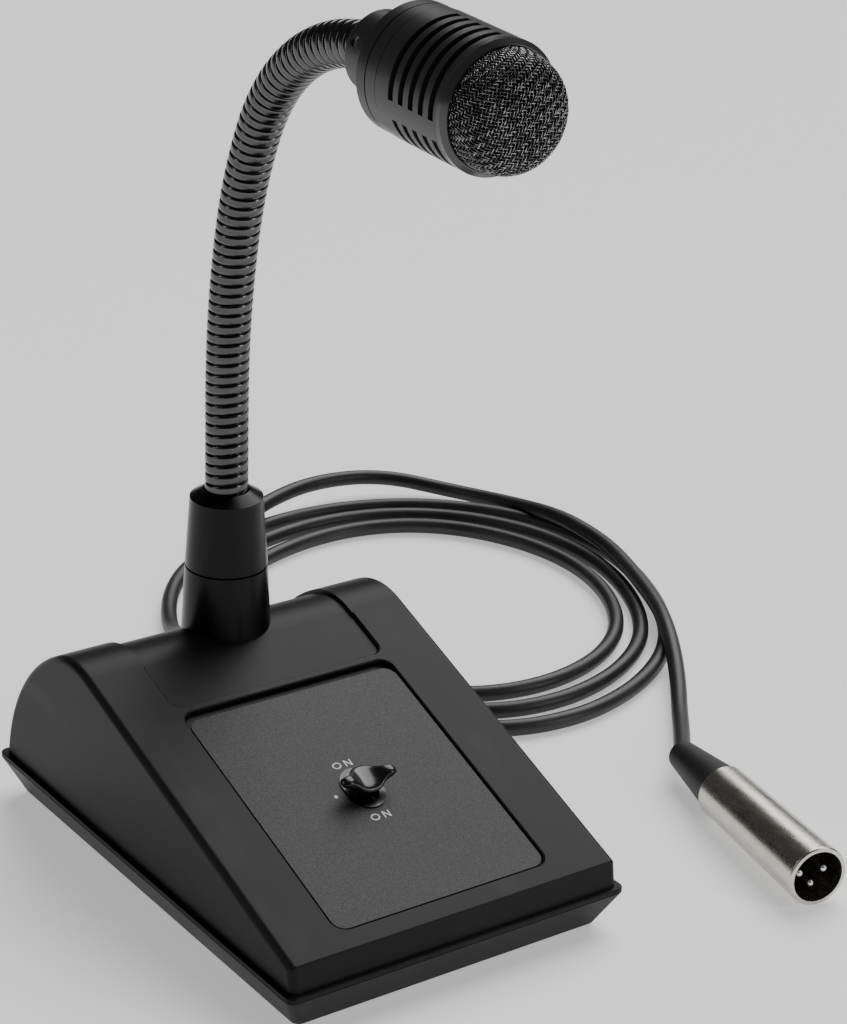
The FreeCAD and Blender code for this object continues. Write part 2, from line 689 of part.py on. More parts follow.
def neck_piece(s0, s1, radius):
    """A length of the neck as a solid round bar along its centreline."""
    marks = [neck_straight]
    for r, a, b in neck_arcs:
        marks.append(marks[-1] + r * math.radians(b - a))
    cuts = [s0] + [m for m in marks if s0 + 0.01 < m < s1 - 0.01] + [s1]
    pieces = []
    for a, b in zip(cuts, cuts[1:]):
        start, start_angle = neck_at(a)
        stop, stop_angle = neck_at(b)
        along = V(0, -math.sin(start_angle), math.cos(start_angle))
        if abs(stop_angle - start_angle) < 1e-6:
            pieces.append(Part.makeCylinder(radius, b - a, start, along))
            continue
        bend = (b - a) / (stop_angle - start_angle)
        centre = start + V(0, -math.cos(start_angle), -math.sin(start_angle)) * bend
        disc = Part.Face(Part.Wire(Part.makeCircle(radius, start, along)))
        pieces.append(disc.revolve(centre, X_AXIS, math.degrees(stop_angle - start_angle)))
    return pieces[0] if len(pieces) == 1 else pieces[0].fuse(pieces[1:])


def neck_segment(index):
    """One link of the gooseneck: a hollow bar with a cup below and a ball above."""
    stations = [s for s, kind in neck_hinges]
    first = index == 0
    last = index == len(stations)
    low = -foot_engage if first else stations[index - 1] + joint_cup_offset
    high = neck_length if last else stations[index]
    body = neck_piece(low, high, neck_radius)
    end, angle = neck_at(high)
    along = V(0, -math.sin(angle), math.cos(angle))
    if last:
        # a turned-down ferrule for the head's collar
        body = body.fuse(Part.makeCylinder(neck_radius - 0.5, collar_engage - 1.0, end, along))
        bore = neck_piece(low - 1.0, high, neck_bore).fuse(
            Part.makeCylinder(neck_bore, collar_engage, end, along))
    else:
        body = body.fuse(Part.makeSphere(joint_ball_radius, end))
        bore = neck_piece(low - 1.0, min(high + joint_ball_radius + 1.0, neck_length), neck_bore)
    if not first:
        cup, _ = neck_at(stations[index - 1])
        body = body.cut(Part.makeSphere(joint_cup_radius, cup))
    return body.cut(bore)


# ---------------------------------------------------------------- microphone head
neck_tip, neck_tip_angle = neck_at(neck_length)
head_direction = V(0, -math.sin(neck_tip_angle), math.cos(neck_tip_angle))
collar_lap = 1.7             # the neck's curve runs this far into the collar
head_origin = neck_tip + head_direction * (collar_length - collar_lap)


def in_head(shape):
    """Move a shape from the head's own frame, Z along its axis, to its place."""
    return placed(shape, head_origin, head_direction)


def head_collar():
    """Turned collar that the neck's end is held in by a grub screw."""
    body = cylinder(collar_radius, -collar_length, 0.0)
    body = body.makeFillet(0.8, [e for e in body.Edges if abs(e.BoundBox.ZMin + collar_length) < 0.01
                                 and e.BoundBox.XLength > 1])
    body = body.fuse(cylinder(collar_radius - 3.0, -0.1, 2.4))
    body = body.cut(cylinder(neck_radius + 0.3, -collar_length - 1, -collar_length + collar_engage + 1.2))
    body = body.cut(cylinder(neck_bore + 0.6, -collar_length, 10))
    return in_head(body.cut(grub_axis(1.55, 4.0, 14.0)))


grub_angle = 295.0
grub_place = 3.4


def grub_axis(radius, low, high):
    """A round bar along the grub screw's axis, in the head's frame."""
    a = math.radians(grub_angle)
    # in the head's frame X is across and Y points up; the angle runs from up towards +X
    direction = V(math.sin(a), math.cos(a), 0)
    start = V(0, 0, -collar_length + grub_place) + direction * low
    return Part.makeCylinder(radius, high - low, start, direction)


def grub_screw():
    screw = grub_axis(1.5, neck_radius - 0.45, collar_radius - 0.9)
    return in_head(screw.cut(grub_axis(0.75, collar_radius - 2.4, collar_radius)))


def head_back_cap():
    """Rear cap of the head: two bands parted by a fine groove, threaded into the sleeve."""
    r = head_radius - 0.2
    body = revolved([(0, 0), (r - 0.6, 0), (r, 0.6), (r, groove_place), (r - groove_depth, groove_place),
                     (r - groove_depth, groove_place + groove_width), (r, groove_place + groove_width),
                     (r, back_cap_length - groove_width), (head_radius - head_wall - 0.1, back_cap_length - groove_width),
                     (head_radius - head_wall - 0.1, back_cap_length + 3.0),
                     (head_radius - head_wall - 1.8, back_cap_length + 3.0),
                     (head_radius - head_wall - 1.8, 3.0), (0, 3.0)])
    return in_head(body.cut(cylinder(collar_radius - 3.0, -1, 4)))


def head_sleeve():
    """Slotted sleeve: solid rings, and between each two of them three webs that part the slots."""
    inner = head_radius - head_wall
    web_span = 360.0 / slot_groups - slot_span
    levels = [first_slot + k * slot_pitch - head_slot_width / 2 for k in range(slot_count)]
    starts = [back_cap_length] + [z + head_slot_width for z in levels]
    stops = levels + [head_length - front_ring_length]
    pieces = [tube(head_radius, inner, low, high) for low, high in zip(starts, stops)]
    for z in levels:
        for g in range(slot_groups):
            web = Part.makeCylinder(head_radius, head_slot_width, V(0, 0, z), Z_AXIS, web_span)
            web = web.cut(cylinder(inner, z - 1, z + head_slot_width + 1))
            # a web starts at +X; its place is told from up (+Y) towards +X
            web.rotate(V(0, 0, 0), Z_AXIS, 90 - slot_web_angle - 360.0 / slot_groups * g - web_span / 2)
            pieces.append(web)
    return in_head(pieces[0].fuse(pieces[1:]))


def slot_gauze():
    """Fine woven gauze sleeve behind the slots."""
    return in_head(tube(head_radius - head_wall - 0.15, head_radius - head_wall - 0.55,
                        back_cap_length + 3.2, head_length - front_ring_length - 0.2))


def front_ring():
    """Threaded front ring with a bright bevel that holds the grille."""
    low = head_length - front_ring_length
    body = revolved([(front_ring_bore, low), (head_radius, low), (head_radius, head_length - front_bevel),
                     (front_ring_bore + 0.35, head_length), (front_ring_bore, head_length)])
    return in_head(body)


def dome_points(extra, steps=10):
    """Half outline of the grille: a flattened dome, as (radius, height) from its foot."""
    radius = front_ring_bore - 0.15 - extra
    height = dome_height + 1.5 - extra
    points = []
    for i in range(steps + 1):
        a = math.pi / 2 * i / steps
        points.append((radius * math.cos(a) ** dome_side_power, height * math.sin(a) ** dome_top_power))
    points[-1] = (0.0, height)
    return points


def dome_solid(extra, foot):
    corners = [V(r, 0, foot + h) for r, h in dome_points(extra)]
    curve = Part.BSplineCurve()
    curve.interpolate(corners, InitialTangent=V(0, 0, 1), FinalTangent=V(-1, 0, 0))
    edges = [curve.toShape(), Part.LineSegment(corners[-1], V(0, 0, foot)).toShape(),
             Part.LineSegment(V(0, 0, foot), corners[0]).toShape()]
    return Part.Face(Part.Wire(edges)).revolve(V(0, 0, 0), Z_AXIS, 360)


dome_foot = head_length - 1.5


def grille_dome():
    """Domed wire grille, here as its thin outer shape."""
    return in_head(dome_solid(0.0, dome_foot).cut(dome_solid(dome_wall, dome_foot - 0.01)))


def foam_liner():
    """Foam pad behind the grille."""
    pad = dome_solid(dome_wall + 0.3, dome_foot)
    hollow = cylinder(11.5, dome_foot - 1, dome_foot + 3.0)
    return in_head(pad.cut(hollow))


def capsule_housing():
    """Deep-drawn cup of the dynamic capsule."""
    cup = cylinder(capsule_radius, capsule_start, capsule_start + capsule_length)
    cup = cup.cut(cylinder(capsule_radius - 0.9, capsule_start + 1.2, 80))
    return in_head(cup.cut(cylinder(1.6, capsule_start - 1, capsule_start + 2)))


def capsule_magnet():
    magnet = tube(7.4, 2.2, capsule_start + 1.2, capsule_start + 7.2)
    return in_head(magnet)


def capsule_pole():
    """Top plate and centre pole that make the magnet's ring gap."""
    plate = tube(9.0, 4.9, capsule_start + 7.2, capsule_start + 8.8)
    return in_head(plate)


def voice_coil():
    return in_head(tube(4.7, 4.3, capsule_start + 7.4, capsule_start + 11.2))


def capsule_diaphragm():
    """Thin moulded diaphragm, clamped at the cup's mouth."""
    z = capsule_start + capsule_length
    disc = revolved([(0, z - 1.0), (4.4, z - 1.8), (5.0, z - 1.8), (8.0, z - 1.0), (capsule_radius - 1.0, z - 0.9),
                     (capsule_radius - 1.0, z - 0.5), (8.0, z - 0.6), (5.0, z - 1.4), (4.4, z - 1.4), (0, z - 0.6)])
    return in_head(disc)


def capsule_cover():
    """Perforated protective cover over the diaphragm."""
    z = capsule_start + capsule_length
    cover = cylinder(capsule_radius, z, z + 0.8)
    holes = [cylinder(1.1, z - 1, z + 3)]
    for k in range(6):
        a = math.radians(60 * k)
        holes.append(cylinder(1.1, z - 1, z + 3, 4.2 * math.cos(a), 4.2 * math.sin(a)))
    for k in range(12):
        a = math.radians(30 * k)
        holes.append(cylinder(1.1, z - 1, z + 3, 8.6 * math.cos(a), 8.6 * math.sin(a)))
    return in_head(cover.cut(holes))


def capsule_mount():
    """Soft rubber ring that floats the capsule inside the sleeve."""
    inner = capsule_radius
    outer = head_radius - head_wall - 0.6
    low = capsule_start + 3.0
    ring = revolved([(inner, low), (outer, low), (outer, low + 1.6), (inner + 1.2, low + 2.6),
                     (inner + 1.2, low + 4.4), (outer, low + 5.4), (outer, low + 7.0), (inner, low + 7.0)])
    return in_head(ring)


# ---------------------------------------------------------------- lead, gland, coil and plug
def gland_sleeve():
    """Rubber strain relief: a flanged sleeve through the rear wall that tapers along the lead."""
    seat = gland_y
    exit_y = lead_route[0][1]
    bore = cord_diameter / 2
    low = seat - 8.0
    points = [(bore, 0), (gland_radius - 0.1, 0), (gland_radius - 0.1, 8.6), (gland_radius + 1.7, 8.6),
              (gland_radius + 1.7, 10.6), (gland_radius - 0.6, 11.2), (bore + 1.0, exit_y - low),
              (bore, exit_y - low)]
    body = revolved(points)
    moved = placed(body, V(gland_x, low, gland_z), Y_AXIS)
    return moved.cut(profile_solid(0, body_half_width, 0).cut(
        Part.makeCylinder(gland_radius - 0.1, 60, V(gland_x, low - 20, gland_z), Y_AXIS)))


def cord_clamp():
    """Clamp inside the base that grips the lead before it reaches the gland."""
    y = gland_y - 20.0
    block = box(gland_x - 8, gland_x + 8, y - 4, y + 4, gland_z - 4.4, gland_z + 4.4)
    post = box(gland_x - 8, gland_x + 8, y - 4, y + 4, foot_height + tray_floor, gland_z - 4.4)
    block = block.fuse(post)
    return block.cut(Part.makeCylinder(cord_diameter / 2, 20, V(gland_x, y - 10, gland_z), Y_AXIS))


def inner_lead():
    """The lead inside the base, from the gland through the clamp to the board."""
    bore = cord_diameter / 2
    end = V(gland_x, lead_route[0][1], gland_z)
    back = Part.makeCylinder(bore, end.y - (gland_y - 30.0), V(gland_x, gland_y - 30.0, gland_z), Y_AXIS)
    return back


def route_wire(points):
    """Straight runs joined by tangent arcs, each as large as its two runs allow."""
    corners = [V(*p) for p in points]
    edges = []
    radii = []
    at = corners[0]
    for before, corner, after in zip(corners, corners[1:], corners[2:]):
        to_corner = corner - before
        from_corner = after - corner
        shorter = min(to_corner.Length, from_corner.Length)
        u = V(to_corner).normalize()
        w = V(from_corner).normalize()
        turn = u.getAngle(w)
        radius = 0.45 * shorter / math.tan(turn / 2)
        reach = 0.45 * shorter
        first = corner - u * reach
        second = corner + w * reach
        inward = V(w - u).normalize()
        centre = corner + inward * (radius / math.cos(turn / 2))
        middle = centre - inward * radius
        edges.append(Part.LineSegment(at, first).toShape())
        edges.append(Part.Arc(first, middle, second).toShape())
        radii.append(radius)
        at = second
    edges.append(Part.LineSegment(at, corners[-1]).toShape())
    return Part.Wire(edges), radii


def cord_tube(name, points):
    """The lead as a round tube along its route."""
    wire, radii = route_wire(points)
    start = V(*points[0])
    along = V(*points[1]) - start
    section = Part.Wire(Part.makeCircle(cord_diameter / 2, start, along))
    solid = wire.makePipeShell([section], True, True)
    area = math.pi * cord_diameter ** 2 / 4
    print("%s length %.1f, volume over section times length %.4f" % (name, wire.Length,
                                                                    solid.Volume / (area * wire.Length)))
    print("%s radii %s" % (name, " ".join("%.0f" % r for r in radii)))
    return solid


# the loose coil behind and beside the base: an outer outline of three ovals and an oval hole
coil_outlines = (((138.0, 104.0), 88.0, 66.0, 50.0), ((140.0, 139.0), 97.0, 78.5, 90.0),
                 ((86.0, 144.0), 50.0, 40.0, 55.0))
coil_hole = ((132.5, 120.5), 67.0, 57.5, 90.0)


def oval_block(centre, long_radius, short_radius, degrees, z0, z1):
    curve = Part.Ellipse(V(0, 0, 0), long_radius, short_radius)
    face = Part.Face(Part.Wire(curve.toShape()))
    block = face.extrude(V(0, 0, z1 - z0))
    block.rotate(V(0, 0, 0), Z_AXIS, degrees)
    block.translate(V(centre[0], centre[1], z0))
    return block


def cord_coil():
    """Outer shape of the coil's loose turns, lying on the table."""
    top = coil_height * cord_diameter
    blocks = [oval_block(c, a, b, t, table, top) for c, a, b, t in coil_outlines]
    ring = blocks[0].fuse(blocks[1:])
    hole = oval_block(*coil_hole, table - 1, top + 1)
    keep_off = box(-100, half_width + 2.0, -120, half_depth + 2.0, -1, 60)
    return ring.cut(hole).cut(keep_off)


plug_axis_point = V(plug_nose[0], plug_nose[1], plug_radius)
plug_rear_point = V(plug_tail[0], plug_tail[1], plug_rear_radius)
plug_direction = V(plug_rear_point - plug_axis_point).normalize()


def in_plug(shape):
    """Move a shape from the plug's frame, Z from its mouth towards the lead."""
    return placed(shape, plug_axis_point, plug_direction)


def plug_shell():
    """Nickel-plated shell; the mating plug goes into its open mouth."""
    length = plug_shell_length
    outer = Part.makeCone(plug_radius, plug_rear_radius, length, V(0, 0, 0), Z_AXIS)
    outer = outer.makeFillet(0.6, [e for e in outer.Edges if abs(e.BoundBox.ZMin) < 0.01
                                   and e.BoundBox.ZLength < 0.01])
    shell = outer.cut(cylinder(plug_bore, -1, plug_socket_depth))
    shell = shell.cut(cylinder(plug_rear_radius - 1.2, plug_socket_depth - 0.1, length + 1))
    shell = shell.cut(Part.makeCylinder(1.3, 20, V(0, 0, plug_screw_place), plug_screw_way))
    return in_plug(shell)


plug_screw_place = 17.0 + 5.0
plug_screw_turn = 28.0
plug_screw_way = V(-math.sin(math.radians(plug_screw_turn)), math.cos(math.radians(plug_screw_turn)), 0)


def plug_insert():
    """Dark moulded block that holds the three pins at the bottom of the mouth."""
    back = plug_socket_depth + 13.0
    body = cylinder(plug_bore - 0.02, plug_socket_depth - 2.0, plug_socket_depth)
    body = body.fuse(cylinder(plug_rear_radius - 1.22, plug_socket_depth - 0.1, back))
    for x, y in pin_places():
        body = body.cut(cylinder(pin_radius, 0, 80, x, y))
    return in_plug(body.cut(Part.makeCylinder(1.3, 20, V(0, 0, plug_screw_place), plug_screw_way)))


def pin_places():
    """Three pins on a circle, two abreast and one below."""
    places = []
    for degrees in (0.0, 90.0, 180.0):
        turn = math.radians(degrees)
        places.append((pin_circle * math.cos(turn), pin_circle * math.sin(turn)))
    return places


def plug_pins():
    pins = []
    for x, y in pin_places():
        pin = cylinder(pin_radius, 3.2, plug_socket_depth + 16.5, x, y)
        front = [e for e in pin.Edges if abs(e.BoundBox.ZMin - 3.2) < 0.01 and e.BoundBox.ZLength < 0.01]
        pins.append(pin.makeFillet(0.9, front))
    return in_plug(group(pins))


def plug_screw():
    """Small countersunk screw that locks the insert in the shell."""
    screw = Part.makeCylinder(1.28, 3.6, V(0, 0, plug_screw_place) + plug_screw_way * 5.6, plug_screw_way)
    return in_plug(screw)


def plug_chuck():
    """Split chuck that the boot squeezes onto the lead."""
    body = tube(plug_rear_radius - 1.6, cord_diameter / 2 + 0.05, plug_shell_length - 14.0, plug_shell_length - 1.0)
    return in_plug(body.cut(box(0, 20, -0.5, 0.5, 0, plug_shell_length)))


def plug_boot():
    """Rubber boot screwed into the shell's rear; the lead leaves its narrow end."""
    start = plug_shell_length
    body = Part.makeCone(boot_wide_radius, boot_narrow_radius, boot_length, V(0, 0, start), Z_AXIS)
    end = [e for e in body.Edges if abs(e.BoundBox.ZMin - start - boot_length) < 0.01 and e.BoundBox.ZLength < 0.01]
    body = body.makeFillet(1.2, end)
    return in_plug(body.cut(cylinder(cord_diameter / 2, start - 1, start + boot_length + 1)))


# ---------------------------------------------------------------- write every sub-part
os.makedirs("parts", exist_ok=True)
sub_parts = {
    "upper_housing": upper_housing, "bottom_tray": bottom_tray, "rubber_pad": rubber_pad,
    "tray_screws": tray_screws, "ballast_plate": ballast_plate, "ballast_screws": ballast_screws,
    "control_plate": control_plate, "switch_bezel": switch_bezel, "switch_frame": switch_frame,
    "lever_pin": lever_pin, "switch_lever": switch_lever, "switch_contact_block": switch_contact_block,
    "switch_terminals": switch_terminals, "switch_screws": switch_screws,
    "terminal_board": terminal_board, "board_standoffs": board_standoffs,
    "pedestal_lower": pedestal_lower, "pedestal_upper": pedestal_upper, "neck_stud": neck_stud,
    "neck_washer": neck_washer, "neck_nut": neck_nut, "head_collar": head_collar,
    "grub_screw": grub_screw, "head_back_cap": head_back_cap, "head_sleeve": head_sleeve,
    "slot_gauze": slot_gauze, "front_ring": front_ring, "grille_dome": grille_dome,
    "foam_liner": foam_liner, "capsule_housing": capsule_housing, "capsule_magnet": capsule_magnet,
    "capsule_pole": capsule_pole, "voice_coil": voice_coil, "capsule_diaphragm": capsule_diaphragm,
    "capsule_cover": capsule_cover, "capsule_mount": capsule_mount,
    "gland_sleeve": gland_sleeve, "cord_clamp": cord_clamp,
    "inner_lead": inner_lead, "cord_coil": cord_coil, "plug_shell": plug_shell,
    "plug_insert": plug_insert, "plug_pins": plug_pins, "plug_screw": plug_screw,
    "plug_chuck": plug_chuck, "plug_boot": plug_boot,
}
for name, make in sub_parts.items():
    write(name, make())
for index in range(len(neck_hinges) + 1):
    write("gooseneck_%02d" % (index + 1), neck_segment(index))
write("cord_lead", cord_tube("cord_lead", lead_route))
write("cord_tail", cord_tube("cord_tail", tail_route))
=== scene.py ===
"""A gooseneck desk microphone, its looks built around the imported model, in metres."""
import math
import bmesh
import bpy
import numpy as np
from mathutils import Matrix, Vector


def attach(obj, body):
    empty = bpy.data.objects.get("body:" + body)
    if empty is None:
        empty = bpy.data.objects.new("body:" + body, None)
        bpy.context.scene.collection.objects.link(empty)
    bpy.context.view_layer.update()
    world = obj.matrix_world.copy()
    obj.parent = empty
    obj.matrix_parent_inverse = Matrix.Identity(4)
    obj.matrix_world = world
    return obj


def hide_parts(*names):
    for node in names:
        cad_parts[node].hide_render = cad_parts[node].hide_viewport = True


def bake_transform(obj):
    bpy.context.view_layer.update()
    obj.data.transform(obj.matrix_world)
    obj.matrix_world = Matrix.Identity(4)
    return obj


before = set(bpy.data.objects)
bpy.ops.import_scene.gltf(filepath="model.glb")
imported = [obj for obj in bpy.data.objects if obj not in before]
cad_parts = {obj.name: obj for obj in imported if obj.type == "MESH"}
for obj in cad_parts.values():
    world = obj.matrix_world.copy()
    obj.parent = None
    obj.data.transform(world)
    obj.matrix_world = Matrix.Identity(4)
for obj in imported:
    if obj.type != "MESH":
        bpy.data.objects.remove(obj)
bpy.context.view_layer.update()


# ---------------------------------------------------------------- tray, pad and ballast
# The tray is injection moulded in black plastic with a fine spark-eroded grain. Its rim is the widest line
# of the microphone. A ribbed rubber pad is glued under it, and zinc-plated screws hold it to the housing.
class Signal:
    """A value in a material's node tree; sums and products of signals add Math nodes."""

    def __init__(self, tree, socket=None):
        self.tree = tree
        self.socket = socket

    def node(self, kind, settings=None, output=0, **values):
        """Add a node of any kind. Settings come first, then a value or a signal for each input."""
        made = self.tree.nodes.new("ShaderNode" + kind)
        for name, value in (settings or {}).items():
            if name == "stops":
                ramp = made.color_ramp
                while len(ramp.elements) < len(value):
                    ramp.elements.new(0.5)
                for element, (place, colour) in zip(ramp.elements, value):
                    element.position = place
                    element.color = colour
            else:
                setattr(made, name, value)
        for name, value in values.items():
            key = int(name[1:]) if name[0] == "i" and name[1:].isdigit() else name.replace("_", " ")
            if isinstance(value, Signal):
                self.tree.links.new(value.socket, made.inputs[key])
            else:
                made.inputs[key].default_value = value
        return Signal(self.tree, made.outputs[output])

    def maths(self, operation, *values):
        made = {"i%d" % place: value for place, value in enumerate(values)}
        return self.node("Math", {"operation": operation}, **made)

    def __add__(self, other):
        return self.maths("ADD", self, other)

    def __radd__(self, other):
        return self.maths("ADD", other, self)

    def __sub__(self, other):
        return self.maths("SUBTRACT", self, other)

    def __rsub__(self, other):
        return self.maths("SUBTRACT", other, self)

    def __mul__(self, other):
        return self.maths("MULTIPLY", self, other)

    def __rmul__(self, other):
        return self.maths("MULTIPLY", other, self)

    def over(self, low, high):
        """0 below low, 1 above high, and a smooth rise between."""
        return self.node("MapRange", {"interpolation_type": "SMOOTHSTEP"},
                         Value=self, From_Min=low, From_Max=high)


def new_finish(name, colour, roughness, metallic=0.0, **shader):
    """A material with one Principled shader; returns it, the shader's inputs and a first signal."""
    material = bpy.data.materials.new(name)
    material.use_nodes = True
    tree = material.node_tree
    principled = tree.nodes["Principled BSDF"]
    principled.inputs["Base Color"].default_value = (*colour, 1.0)
    principled.inputs["Roughness"].default_value = roughness
    principled.inputs["Metallic"].default_value = metallic
    for socket, value in shader.items():
        principled.inputs[socket.replace("_", " ")].default_value = value
    return material, principled.inputs, Signal(tree)


def join(inputs, name, signal):
    signal.tree.links.new(signal.socket, inputs[name])


def grain(start, scale, detail=2.0, stretch=(1.0, 1.0, 1.0)):
    """Noise fixed to the object; scale counts its features in a metre."""
    place = start.node("TexCoord", output=3)
    if stretch != (1.0, 1.0, 1.0):
        place = start.node("Mapping", Vector=place, Scale=stretch)
    return start.node("TexNoise", Vector=place, Scale=scale, Detail=detail)


def two_tone(start, amount, dark, light):
    """A colour between two, by amount from 0 to 1."""
    return start.node("Mix", {"data_type": "RGBA"}, output=2, i0=amount, i6=(*dark, 1.0), i7=(*light, 1.0))


def moulded_plastic(name, dark, light, roughness, grain_size, grain_height):
    """Moulded plastic: fine erosion grain, faint cloudiness and a few soft handling marks."""
    material, inputs, start = new_finish(name, dark, roughness, Specular_IOR_Level=0.13)
    fine = grain(start, 1.0 / grain_size, 2.0)
    cloud = grain(start, 28.0, 3.0)
    rubbed = grain(start, 90.0, 4.0, (1.0, 0.25, 1.0)).over(0.55, 0.75)
    join(inputs, "Base Color", two_tone(start, cloud.over(0.35, 0.7), dark, light))
    join(inputs, "Roughness", roughness + 0.08 * (cloud - 0.5) - 0.05 * rubbed + 0.06 * (fine - 0.5))
    join(inputs, "Normal", start.node("Bump", Height=fine, Strength=0.5, Distance=grain_height))
    return material


def zinc_steel(name, colour, roughness):
    """Plated or rolled steel with fine drawn lines."""
    material, inputs, start = new_finish(name, colour, roughness, 1.0)
    lines = grain(start, 900.0, 3.0, (1.0, 0.08, 1.0))
    join(inputs, "Roughness", roughness + 0.15 * (lines - 0.5))
    join(inputs, "Normal", start.node("Bump", Height=lines, Strength=0.25, Distance=0.00004))
    return material


def moulded_rubber(name, shade, roughness):
    """Black rubber with a dusty, slightly uneven surface."""
    material, inputs, start = new_finish(name, (shade, shade, shade * 1.02), roughness)
    fine = grain(start, 2600.0, 2.0)
    dust = grain(start, 140.0, 4.0).over(0.45, 0.8)
    join(inputs, "Base Color", two_tone(start, dust, (shade,) * 3, (shade * 1.8, shade * 1.8, shade * 1.85)))
    join(inputs, "Roughness", roughness + 0.1 * dust)
    join(inputs, "Normal", start.node("Bump", Height=fine, Strength=0.4, Distance=0.00005))
    return material


def finish_nodes(material, *names):
    """Give CAD nodes a finish."""
    for name in names:
        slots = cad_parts[name].material_slots
        for slot in slots:
            slot.material = material


tray_plastic = moulded_plastic("tray_plastic", (0.010, 0.010, 0.0105), (0.014, 0.014, 0.0146),
                               0.45, 0.0004, 0.00003)
pad_rubber = moulded_rubber("pad_rubber", 0.018, 0.8)
screw_zinc = zinc_steel("screw_zinc", (0.62, 0.62, 0.60), 0.35)
ballast_mill = zinc_steel("ballast_mill", (0.36, 0.36, 0.37), 0.5)
finish_nodes(tray_plastic, "bottom_tray")
finish_nodes(pad_rubber, "rubber_pad")
finish_nodes(screw_zinc, "tray_screws", "ballast_screws")
finish_nodes(ballast_mill, "ballast_plate")

# ---------------------------------------------------------------- housing
# One black moulded shell with the same grain as the tray, a little silkier than the tray all over.
# Inside are a circuit board on brass posts, a cord clamp of black nylon and the rubber gland in its rear.
housing_plastic = moulded_plastic("housing_plastic", (0.010, 0.010, 0.0104), (0.014, 0.014, 0.0144),
                                  0.40, 0.0004, 0.00003)
finish_nodes(housing_plastic, "upper_housing")


def turned_metal(name, colour, roughness, line_gap, line_depth):
    """Lathe-turned metal: fine rings round the piece's axis, a little stain and uneven shine."""
    material, inputs, start = new_finish(name, colour, roughness, 1.0)
    rings = grain(start, 1.0 / line_gap, 2.0, (0.12, 1.0, 0.12))
    stain = grain(start, 120.0, 4.0)
    darker = tuple(part * 0.8 for part in colour)
    join(inputs, "Base Color", two_tone(start, stain.over(0.4, 0.7), darker, colour))
    join(inputs, "Roughness", roughness + 0.12 * (stain - 0.5) + 0.1 * (rings - 0.5))
    join(inputs, "Normal", start.node("Bump", Height=rings, Strength=0.35, Distance=line_depth))
    return material


turned_brass = turned_metal("turned_brass", (0.72, 0.54, 0.24), 0.3, 0.0004, 0.00003)
solder_mask = moulded_plastic("solder_mask", (0.02, 0.12, 0.05), (0.03, 0.16, 0.07), 0.3, 0.0003, 0.00001)
black_nylon = moulded_plastic("black_nylon", (0.012, 0.011, 0.010), (0.02, 0.018, 0.016),
                              0.45, 0.0006, 0.00003)
gland_rubber = moulded_rubber("gland_rubber", 0.012, 0.6)
finish_nodes(turned_brass, "board_standoffs")
finish_nodes(solder_mask, "terminal_board")
finish_nodes(black_nylon, "cord_clamp")
finish_nodes(gland_rubber, "gland_sleeve")

# ---------------------------------------------------------------- control plate
# A steel plate in a textured grey-black powder coat, dropped into its pocket on the slope. White marks are
# screen printed on it: a word at each end of the switch's travel and a dot beside its middle.
slope = math.radians(19.2)
slope_foot = Vector((0.0, -0.0810, 0.0215))
plate_face = -0.0006
print_height = 0.00003


def on_slope(across, along, height):
    """A place on the operating slope, from its front edge and its surface."""
    up_slope = Vector((0.0, math.cos(slope), math.sin(slope)))
    out = Vector((0.0, -math.sin(slope), math.cos(slope)))
    return slope_foot + Vector((across, 0.0, 0.0)) + up_slope * along + out * height


def powder_coat():
    """Textured powder coat: orange-peel lumps with a painted highlight on their tops, faint random cloudy
    tone and a satin shine.
    """
    material, inputs, start = new_finish("powder_coat", (0.03, 0.03, 0.032), 0.5, Specular_IOR_Level=0.25)
    lumps = grain(start, 2100.0, 2.5)
    cloud = grain(start, 35.0, 3.0)
    # painted highlight: lump tops coloured lighter and hollows darker (painted shade), mixed with random
    # cloudy tone
    shade = 0.75 * lumps.over(0.35, 0.72) + 0.25 * cloud
    join(inputs, "Base Color", two_tone(start, shade, (0.020, 0.020, 0.0215), (0.052, 0.052, 0.054)))
    join(inputs, "Roughness", 0.55 - 0.15 * lumps)
    join(inputs, "Normal", start.node("Bump", Height=lumps, Strength=0.7, Distance=0.00008))
    return material


plate_coat = powder_coat()
finish_nodes(plate_coat, "control_plate")


def printed_ink():
    """White screen ink, a little thin over the coat's lumps."""
    material, inputs, start = new_finish("printed_ink", (0.75, 0.75, 0.74), 0.5)
    thin = grain(start, 2600.0, 2.0).over(0.3, 0.75)
    join(inputs, "Base Color", two_tone(start, thin, (0.62, 0.62, 0.61), (0.86, 0.86, 0.85)))
    join(inputs, "Normal", start.node("Bump", Height=thin, Strength=0.3, Distance=0.00003))
    return material


ink = printed_ink()
letter_height = 0.0025
letter_stroke = 0.00044
round_letter_width = 0.0029
slanted_letter_width = 0.0023


def printed_mark(name, loops, faces):
    """Flat ink on the plate, from loops of (across, along) and the faces between them."""
    mesh = bpy.data.meshes.new(name)
    mesh.from_pydata([on_slope(x, y, plate_face + print_height) for x, y in loops], [], faces)
    mesh.materials.append(ink)
    mark = bpy.data.objects.new(name, mesh)
    bpy.context.scene.collection.objects.link(mark)
    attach(mark, "base")


def round_letter(name, across, along, steps=40):
    points = []
    for inner in (0.0, letter_stroke):
        for k in range(steps):
            turn = 2 * math.pi * k / steps
            points.append((across + (round_letter_width / 2 - inner) * math.cos(turn),
                           along + (letter_height / 2 - inner) * math.sin(turn)))
    faces = [(k, (k + 1) % steps, steps + (k + 1) % steps, steps + k) for k in range(steps)]
    printed_mark(name, points, faces)


